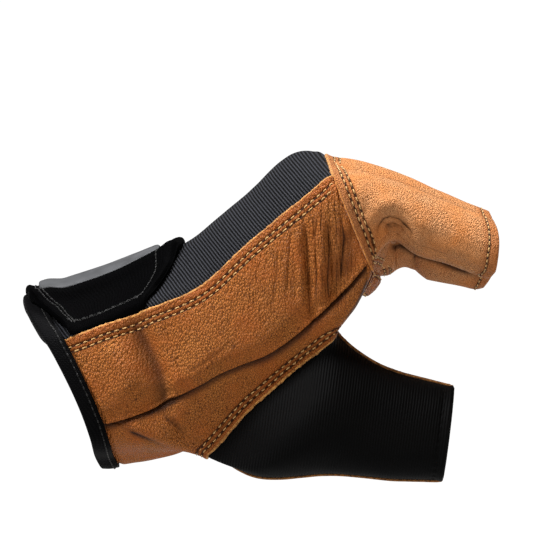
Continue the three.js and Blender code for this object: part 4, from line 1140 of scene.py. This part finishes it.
def lay(name, counts, edge, place, under, over):
    """A closed layer on the palm's skin, with round edges, that knows its two shares at each point."""
    s, t = np.meshgrid(*map(eased, counts, edge), indexing="ij")
    points, normals = skin_at(*place(s, t))
    low, high = under(s, t), over(s, t)
    full = rounded(s, edge[0]) * rounded(t, edge[1])
    middle = (low + high) / 2
    top = points + normals * (middle + (high - middle) * full)[..., None]
    bottom = points + normals * (middle - (middle - low) * full)[..., None]
    index = np.arange(s.size).reshape(s.shape)
    faces = np.stack([index[:-1, :-1], index[1:, :-1], index[1:, 1:], index[:-1, 1:]], -1).reshape(-1, 4)
    rim = np.concatenate([index[0, :-1], index[:-1, -1], index[-1, :0:-1], index[:0:-1, 0]])
    strip = np.stack([rim, np.roll(rim, -1), np.roll(rim, -1) + s.size, rim + s.size], 1)
    mesh = smooth_mesh(name, np.stack([top, bottom]), np.concatenate([faces, faces[:, ::-1] + s.size, strip]))
    for label, values in (("along", s), ("beside", t)):
        mark(mesh, label, np.tile(values.ravel(), 2))
    return link(name, mesh)


tab = lay("closure_tab_strap", TAB_GRID, TAB_EDGE, tab_place, tab_under, tab_over)


def strap_cloth(name):
    """Close-knit strap face: fine cords along the strap, matt and black."""
    material, tree, spot = new_material(name)
    cord = calc(tree, "SINE", calc(tree, "MULTIPLY", attribute(tree, "along"), 2 * math.pi * STRAP_CORDS))
    knit = cloud(tree, spot, 0.4 * MM, 3)
    colour = two_tones(tree, knit, "#010101", "#030304", (0.3, 0.7))
    return surfaced(material, calc(tree, "MULTIPLY_ADD", cord, 0.25, knit), 0.7, 0.2 * MM,
                    {"Base Color": colour, "Roughness": 0.7, "IOR": 1.06})


stand_for(tab, "closure_tab", "tab_cloth", strap_cloth("close_knit_strap"))

# Patch on the tab
# A plain plate of grey rubber, moulded with a crowned face and round edges, and bonded to the tab.
PATCH_GRID, PATCH_EDGE = (61, 81), (0.03, 0.03)
PATCH_THICKNESS = 0.9 * MM
PATCH_CROWN = 1.2 * MM
PATCH_ENDS = (0.16, 0.87)
PATCH_SIDES = (0.355, 0.80)


def on_tab(s, t):
    return tuple(low + (high - low) * share for (low, high), share in ((PATCH_ENDS, s), (PATCH_SIDES, t)))


def patch_under(s, t):
    return tab_over(*on_tab(s, t)) + 0.2 * LAYER_GAP


def patch_over(s, t):
    crown = PATCH_CROWN * 16 * s * (1 - s) * t * (1 - t)
    return tab_over(*on_tab(s, t)) + 1.3 * LAYER_GAP + PATCH_THICKNESS + crown


patch = lay("tab_patch_plate", PATCH_GRID, PATCH_EDGE, lambda s, t: tab_place(*on_tab(s, t)),
            patch_under, patch_over)


def moulded_rubber(name):
    """Moulded rubber: a soft satin skin with the mould's fine spark texture."""
    material, tree, spot = new_material(name)
    spark = cloud(tree, spot, 0.25 * MM, 2)
    colour = two_tones(tree, cloud(tree, spot, 8 * MM, 2), "#37383a", "#4a4b4e", (0.3, 0.7))
    return surfaced(material, spark, 0.3, 0.05 * MM,
                    {"Base Color": colour, "Roughness": 0.62, "Specular IOR Level": 0.3})


stand_for(patch, "tab_patch", "patch_rubber", moulded_rubber("moulded_grey_rubber"))

# Palm pads
# Two shaped pieces of the same hide over soft foam, sewn down round their edges and drawn in along two
# channels each, where the hand grips a bar: one below the knuckles and one in front of it.
PAD_GRID, PAD_EDGE = (41, 141), (0.08, 0.03)
PAD_THICKNESS = 2.6 * MM
PADS = {"palm_pad": (8.18, 9.12, 12.3, 17.1), "knuckle_pad": (9.26, 9.96, 12.1, 17.2)}
PAD_ALONG = np.array([(0, 0.35), (0.2, 0.95), (0.5, 1.05), (0.8, 0.95), (1, 0.35)])
PAD_CHANNELS = (0.31, 0.67)
CHANNEL_WIDTH = 0.022
PAD_SEAT = LEATHER_PROUD + 0.1 * MM
# Where the stitch row runs, as shares of the pad's length and breadth, and those two sizes
PAD_ROWS = (0.12, 0.03)
PAD_SIZE = (9 * MM, 62 * MM)


def pad_over(s, t):
    """The top of the foam: high in the middle, low at the sewn edge, and drawn in along each channel."""
    fill = 0.15 + 0.85 * smoothstep(0, 0.16, np.minimum(t, 1 - t))
    fill = fill * np.interp(s, PAD_ALONG[:, 0], PAD_ALONG[:, 1])
    for channel in PAD_CHANNELS:
        fill = fill * (1 - 0.5 * bell(t - channel, CHANNEL_WIDTH))
    return PAD_SEAT + PAD_THICKNESS * fill


def pad_place(name):
    first, last, left, right = PADS[name]
    return lambda s, t: (first + (last - first) * s, left + (right - left) * t)


for name in PADS:
    pad = lay(name + "_filled", PAD_GRID, PAD_EDGE, pad_place(name), lambda s, t: PAD_SEAT + 0 * s, pad_over)
    inside = []
    for label, row, size in zip(("along", "beside"), PAD_ROWS, PAD_SIZE):
        share = values_of(pad.data.attributes[label].data, "value", 1, np.float32).ravel()
        inside.append((np.minimum(share, 1 - share) - row) * size)
    for label, values in (("seam", UNSEWN), ("first_row", np.minimum(*inside) / MM), ("second_row", UNSEWN)):
        mark(pad.data, label, np.broadcast_to(values, len(pad.data.vertices)))
    stand_for(pad, name, "leather", leather)


# Stitches
# Waxed tan thread in lock stitch: each stitch lies on the leather as a short, plump dash, and dives into a
# needle hole that the pull of the thread has opened.

# Pitch, length and thread of each kind of row
SEAM_STITCHES = (STITCH_PITCH, 1.4 * MM, 0.43 * MM)
HEM_STITCHES = (2.0 * MM, 1.4 * MM, 0.43 * MM)
BINDING_STITCHES = (2.4 * MM, 1.3 * MM, 0.4 * MM)
TAB_STITCHES = (2.4 * MM, 1.4 * MM, 0.4 * MM)
# How high a stitch bows, in threads, and its hole: its size in threads, its height and how long an oval it is
CREST = 1.3
HOLE_SIZE, HOLE_HEIGHT, HOLE_SHAPE = 0.6, 0.16 * MM, (1.6, 1.0, 1)
SHORTEST_RUN, CLEAR_SHARE = 4, 0.9


def stitch_tree():
    """Stitches spaced along a line: a bent dash of thread at each, and a needle hole between every two."""
    tree = bpy.data.node_groups.new("stitch_row", "GeometryNodeTree")
    kinds = {"Geometry": "Geometry", **dict.fromkeys(("Pitch", "Length", "Width"), "Float"),
             **dict.fromkeys(("Thread", "Hole"), "Material")}
    for label, kind in kinds.items():
        tree.interface.new_socket(label, in_out="INPUT", socket_type="NodeSocket" + kind)
    tree.interface.new_socket("Geometry", in_out="OUTPUT", socket_type="NodeSocketGeometry")

    def scaled(label, share):
        return calc(tree, "MULTIPLY", given[label], share)

    def spot_at(**parts):
        return node(tree, "ShaderNodeCombineXYZ", parts).outputs[0]

    given = node(tree, "NodeGroupInput").outputs
    line = node(tree, "GeometryNodeMeshToCurve", {"Mesh": given["Geometry"]}).outputs[0]
    spaced = node(tree, "GeometryNodeResampleCurve", {"Curve": line, "Length": given["Pitch"]}, mode="LENGTH")
    tangent = node(tree, "GeometryNodeInputTangent").outputs[0]
    up = node(tree, "GeometryNodeInputNamedAttribute", {"Name": "up"}, data_type="FLOAT_VECTOR")
    aimed = node(tree, "FunctionNodeAlignRotationToVector", {"Vector": tangent}, axis="X").outputs[0]
    level = {"Rotation": aimed, "Vector": up.outputs["Attribute"]}
    turned = node(tree, "FunctionNodeAlignRotationToVector", level, axis="Z", pivot_axis="X").outputs[0]
    sunk = scaled("Width", -0.5)
    bow = {"Start": spot_at(X=scaled("Length", -0.5), Z=sunk), "Middle": spot_at(Z=scaled("Width", CREST)),
           "End": spot_at(X=scaled("Length", 0.5), Z=sunk), "Resolution": 6}
    arc = node(tree, "GeometryNodeCurveQuadraticBezier", bow).outputs[0]
    ring = node(tree, "GeometryNodeCurvePrimitiveCircle", {"Resolution": 7, "Radius": scaled("Width", 0.5)},
                mode="RADIUS").outputs[0]
    bent = {"Curve": arc, "Profile Curve": ring, "Fill Caps": True}
    dash = node(tree, "GeometryNodeCurveToMesh", bent).outputs[0]
    disc = node(tree, "GeometryNodeMeshCircle", {"Vertices": 8, "Radius": scaled("Width", HOLE_SIZE)},
                fill_type="NGON").outputs[0]
    between = spot_at(X=scaled("Pitch", 0.5), Z=HOLE_HEIGHT)
    oval = {"Geometry": disc, "Translation": between, "Scale": HOLE_SHAPE}
    hole = node(tree, "GeometryNodeTransform", oval).outputs[0]
    both = node(tree, "GeometryNodeJoinGeometry")
    for shape, finish in ((dash, given["Thread"]), (hole, given["Hole"])):
        row = {"Points": spaced.outputs[0], "Instance": shape, "Rotation": turned}
        placed = node(tree, "GeometryNodeInstanceOnPoints", row)
        real = node(tree, "GeometryNodeRealizeInstances", {0: placed.outputs[0]})
        finished = node(tree, "GeometryNodeSetMaterial", {"Geometry": real.outputs[0], "Material": finish})
        tree.links.new(finished.outputs[0], both.inputs[0])
    node(tree, "NodeGroupOutput", {0: both.outputs[0]})
    return tree


stitches = stitch_tree()
tan_thread = (fibrous("waxed_thread", "#96652f", "#e6bd7e", 0.25 * MM, 0.6, 0.06 * MM),
              fibrous("needle_hole", "#1d0c03", "#34190a", 0.3 * MM, 0.9, 0.02 * MM))
black_thread = (fibrous("black_thread", "#020203", "#0a0a0c", 0.25 * MM, 0.6, 0.06 * MM),
                fibrous("needle_hole_in_cloth", "#010101", "#030303", 0.3 * MM, 0.9, 0.02 * MM))


def routes_of(panel, offset, wanted):
    """Lines on a panel's face, offset in from its rims, wherever wanted says so of a rim's kind and rows.

    A place that another rim comes close to is left out, and so is a run of few points.
    """
    surface = BVHTree.FromPolygons(panel["outer"].tolist(), panel["faces"].tolist())
    found = []
    for seam in panel["seams"]:
        keep = np.array([wanted(kind, rows) for kind, rows in seam["kinds"]])
        if not keep.any():
            continue
        inside = averaged(seam["points"] + seam["inward"] * offset, 3)
        shift = int(np.argmin(keep)) if not keep.all() else 0
        run = []
        for i in np.roll(np.arange(len(keep)), -shift).tolist() + [None]:
            if i is not None and keep[i]:
                near, normal, _, _ = surface.find_nearest(Vector(inside[i]))
                if panel["tree"].find(near)[2] > CLEAR_SHARE * offset:
                    run.append((near, normal))
                continue
            if len(run) > SHORTEST_RUN:
                found.append(run)
            run = []
    return found


def sew(name, routes, sizes=SEAM_STITCHES, thread=tan_thread):
    """Sews rows of stitches along routes, each a list of points and normals, as one plain mesh."""
    points, lines, ups = [], [], []
    for route in routes:
        lines += [(len(points) + i, len(points) + i + 1) for i in range(len(route) - 1)]
        points += [tuple(p) for p, _ in route]
        ups += [c for _, n in route for c in n]
    mesh = bpy.data.meshes.new(name)
    mesh.from_pydata(points, lines, [])
    mesh.attributes.new("up", "FLOAT_VECTOR", "POINT").data.foreach_set("vector", ups)
    made = link(name, mesh)
    rows = made.modifiers.new("rows", "NODES")
    rows.node_group = stitches
    sockets = {item.name: item.identifier for item in stitches.interface.items_tree if item.in_out == "INPUT"}
    for label, value in zip(("Pitch", "Length", "Width", "Thread", "Hole"), (*sizes, *thread)):
        rows[sockets[label]] = value
    applied(made)
    made.data.polygons.foreach_set("use_smooth", np.ones(len(made.data.polygons), bool))
    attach(made, "root")


sewn_panels = {"side": side, "palm": palm, "thumb": thumb_leather}
sewn_panels.update((stall.split("_")[0], stalls[stall]) for stall in STALLS)
for name, panel in sewn_panels.items():
    routes = []
    for offset in (*SIDE_ROWS, *THUMB_ROWS):
        routes += routes_of(panel, offset * MM, lambda kind, rows: kind in CUT_RIMS and offset in rows)
    sew(name + "_seam_stitches", routes)
    if name + "_stall" in STALLS:
        hem = routes_of(panel, HEM_ROWS[0] * MM, lambda kind, rows: kind == "hemmed")
        sew(name + "_hem_stitches", hem, HEM_STITCHES)


def laid_route(place, over, s, t, count):
    """A line on a layer that lies on the palm's skin, between two values of s and of t."""
    s, t = np.linspace(*s, count), np.linspace(*t, count)
    points, normals = skin_at(*place(s, t))
    return [(Vector(p), Vector(n)) for p, n in zip(points + normals * over(s, t)[:, None], normals)]


round_wrist = laid_route(lambda s, t: (s, t), lambda s, t: BINDING_TOP + 0.2 * MM + 0 * s,
                         (BINDING_ROW, BINDING_ROW), (0, RING - 1e-3), 400)
sew("binding_stitches", [round_wrist], BINDING_STITCHES, black_thread)
for name in PADS:
    low, high = PAD_ROWS, [1 - share for share in PAD_ROWS]
    corners = [low, (high[0], low[1]), high, (low[0], high[1])]
    sew(name + "_stitches", [laid_route(pad_place(name), pad_over, (a[0], b[0]), (a[1], b[1]), 150)
                             for a, b in zip(corners, corners[1:] + corners[:1])])
tab_lines = [laid_route(tab_place, tab_over, (s, s), (0.07, 0.97), 300) for s in TAB_LINES]
tab_lines += [laid_route(tab_place, tab_over, (0.1, 0.9), (t, t), 120) for t in TAB_END_LINES]
sew("tab_stitches", tab_lines, TAB_STITCHES, black_thread)


# Studio
# The glove is held up over plain pale paper, as the hand would hold it. A small soft light stands in front
# at the upper left, a broad one above, and a weak warm one low in front.
STUDIO_FLOOR = -0.3
PAPER_RING, PAPER_GLOW = (0.75, 1.15), (0.16, 1.0)
CAMERA_AIM = Vector((0.0696, -0.015, 0.0363))
CAMERA_ELEVATION = 3
CAMERA_DISTANCE = 2.2
FRAME_WIDTH = 0.1815

bpy.ops.mesh.primitive_plane_add(size=160, location=(0, 0, STUDIO_FLOOR))
floor = bpy.context.object
floor.name = "studio_floor"
# The paper is lit from below past a ring round the glove, so that it goes white towards the horizon.
paper, tree, spot = new_material("backlit_white_paper")
away = node(tree, "ShaderNodeVectorMath", {0: spot}, operation="LENGTH").outputs["Value"]
glow = ranged(tree, away, PAPER_RING, PAPER_GLOW)
shader = node(tree, "ShaderNodeBsdfPrincipled", {"Base Color": linear("#8c8c8c"), "Roughness": 0.9,
                                                 "Emission Color": (1, 1, 1, 1), "Emission Strength": glow})
node(tree, "ShaderNodeOutputMaterial", {"Surface": shader.outputs[0]})
floor.data.materials.append(paper)

world = bpy.data.worlds.new("studio")
bpy.context.scene.world = world
world.use_nodes = True
world.node_tree.nodes["Background"].inputs["Color"].default_value = (1.0, 0.92, 0.82, 1)
world.node_tree.nodes["Background"].inputs["Strength"].default_value = 0.15


def soft_light(name, place, size, power, tint=(1, 1, 1)):
    light = bpy.data.lights.new(name, "AREA")
    light.shape, light.size, light.energy, light.color = "DISK", size, power, tint
    made = bpy.data.objects.new(name, light)
    made.location = place
    made.rotation_euler = (CAMERA_AIM - Vector(place)).to_track_quat("-Z", "Y").to_euler()
    bpy.context.scene.collection.objects.link(made)


soft_light("key", (-0.68, -0.42, 0.95), 0.26, 20.5)
soft_light("top", (0.2, 0.1, 1.2), 0.5, 22)
soft_light("side_fill", (0.3, -1.2, -0.15), 0.6, 2.5, (1.0, 0.78, 0.55))

lens = bpy.data.cameras.new("camera")
camera = bpy.data.objects.new("camera", lens)
bpy.context.scene.collection.objects.link(camera)
elevation = math.radians(CAMERA_ELEVATION)
camera.location = CAMERA_AIM + CAMERA_DISTANCE * Vector((0, -math.cos(elevation), math.sin(elevation)))
camera.rotation_euler = (math.pi / 2 - elevation, 0, 0)
lens.angle = 2 * math.atan(FRAME_WIDTH / 2 / CAMERA_DISTANCE)
lens.clip_end = 200
bpy.context.scene.camera = camera
bpy.context.scene.view_settings.view_transform = "Standard"
